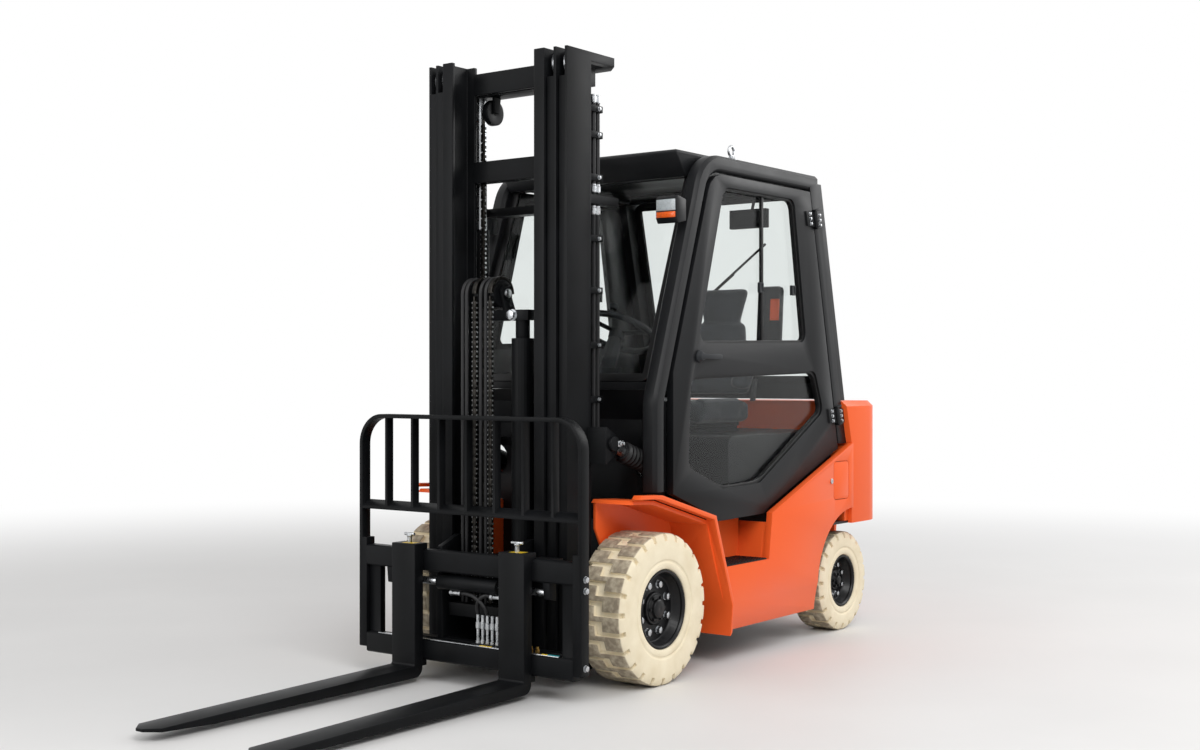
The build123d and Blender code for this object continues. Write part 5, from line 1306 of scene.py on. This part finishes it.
class FORKLIFT_OT_stage(bpy.types.Operator):
    """Pale floor, soft light and the camera at the viewing angle"""
    bl_idname = "forklift.stage"
    bl_label = "Stage"

    def execute(self, context):
        settings = context.scene.forklift
        self.floor(settings.floor_colour)
        self.surround(context.scene)
        for name, place, watts in LIGHTS:
            bpy.ops.object.light_add(type="AREA", location=place)
            light = context.object
            light.name = name + "_light"
            light.data.energy = watts
            light.data.size = LIGHT_SIZE
            aim = UP - Vector(place)
            light.rotation_euler = aim.to_track_quat("-Z", "Y").to_euler()
        bpy.ops.object.camera_add(location=at(*CAMERA), rotation=[radians(turn) for turn in CAMERA_TURN])
        camera = context.object
        camera.data.sensor_fit = "HORIZONTAL"
        camera.data.sensor_width = 36
        camera.data.lens = settings.lens_mm
        context.scene.camera = camera
        context.scene.view_settings.view_transform = "Standard"
        return {"FINISHED"}

    def floor(self, colour):
        """A wide floor that fades to white in the distance."""
        bpy.ops.object.select_all(action="DESELECT")
        bpy.ops.mesh.primitive_plane_add(size=FLOOR_SIZE, location=(0, 0, 0))
        floor = bpy.context.object
        floor.name = "floor"
        # Sealed pale floor: faint cloudy tone, a soft reflection near the wheels, white in the distance.
        tree, shader = finish("sealed_floor", colour, 0.45)
        place = weathered(tree, shader, (colour, "DDDCDB"), 900, (0.5, 0.56), 12, 0.1, 0.05)[0]
        floor.data.materials.append(bpy.data.materials["sealed_floor"])
        reach = node(tree, "ShaderNodeVectorMath", {0: place}, operation="LENGTH")
        far = node(tree, "ShaderNodeMapRange", {"Value": reach.outputs["Value"]},
                   interpolation_type="SMOOTHSTEP",
                   **{"From Min": FADE_REACH[0], "From Max": FADE_REACH[1]})
        fade = node(tree, "ShaderNodeMath", {0: far.outputs["Result"], 1: seen_white(tree)},
                    operation="MULTIPLY")
        white = node(tree, "ShaderNodeEmission", Color=WHITE, Strength=1.0)
        blend = node(tree, "ShaderNodeMixShader",
                     {"Fac": fade.outputs[0], 1: shader.outputs[0], 2: white.outputs[0]})
        tree.links.new(blend.outputs[0], tree.nodes["Material Output"].inputs["Surface"])

    def surround(self, scene):
        """Soft light from all round, seen as plain white."""
        scene.world = scene.world or bpy.data.worlds.new("studio")
        scene.world.use_nodes = True
        tree = scene.world.node_tree
        tree.nodes.clear()
        soft = node(tree, "ShaderNodeBackground", Color=WHITE, Strength=0.5)
        white = node(tree, "ShaderNodeBackground", Color=WHITE, Strength=1.0)
        mix = node(tree, "ShaderNodeMixShader",
                   {"Fac": seen_white(tree), 1: soft.outputs[0], 2: white.outputs[0]})
        node(tree, "ShaderNodeOutputWorld", {"Surface": mix.outputs[0]})


class FORKLIFT_PT_panel(bpy.types.Panel):
    bl_label = "Forklift"
    bl_idname = "FORKLIFT_PT_panel"
    bl_space_type = "VIEW_3D"
    bl_region_type = "UI"
    bl_category = "Forklift"

    def draw(self, context):
        for operator in OPERATORS:
            self.layout.operator(operator.bl_idname)


OPERATORS = (FORKLIFT_OT_finishes, FORKLIFT_OT_stage, FORKLIFT_OT_wheels, FORKLIFT_OT_body, FORKLIFT_OT_mast,
             FORKLIFT_OT_cab, FORKLIFT_OT_cabin)
CLASSES = (FORKLIFT_PG_settings, *OPERATORS, FORKLIFT_PT_panel)


def register():
    for cls in CLASSES:
        bpy.utils.register_class(cls)
    bpy.types.Scene.forklift = bpy.props.PointerProperty(type=FORKLIFT_PG_settings)


def unregister():
    del bpy.types.Scene.forklift
    for cls in reversed(CLASSES):
        bpy.utils.unregister_class(cls)


def main():
    register()
    bpy.ops.forklift.finishes()
    bpy.ops.forklift.stage()
    bpy.ops.forklift.wheels()
    bpy.ops.forklift.body()
    bpy.ops.forklift.mast()
    bpy.ops.forklift.cab()
    bpy.ops.forklift.cabin()


if __name__ == "__main__":
    main()
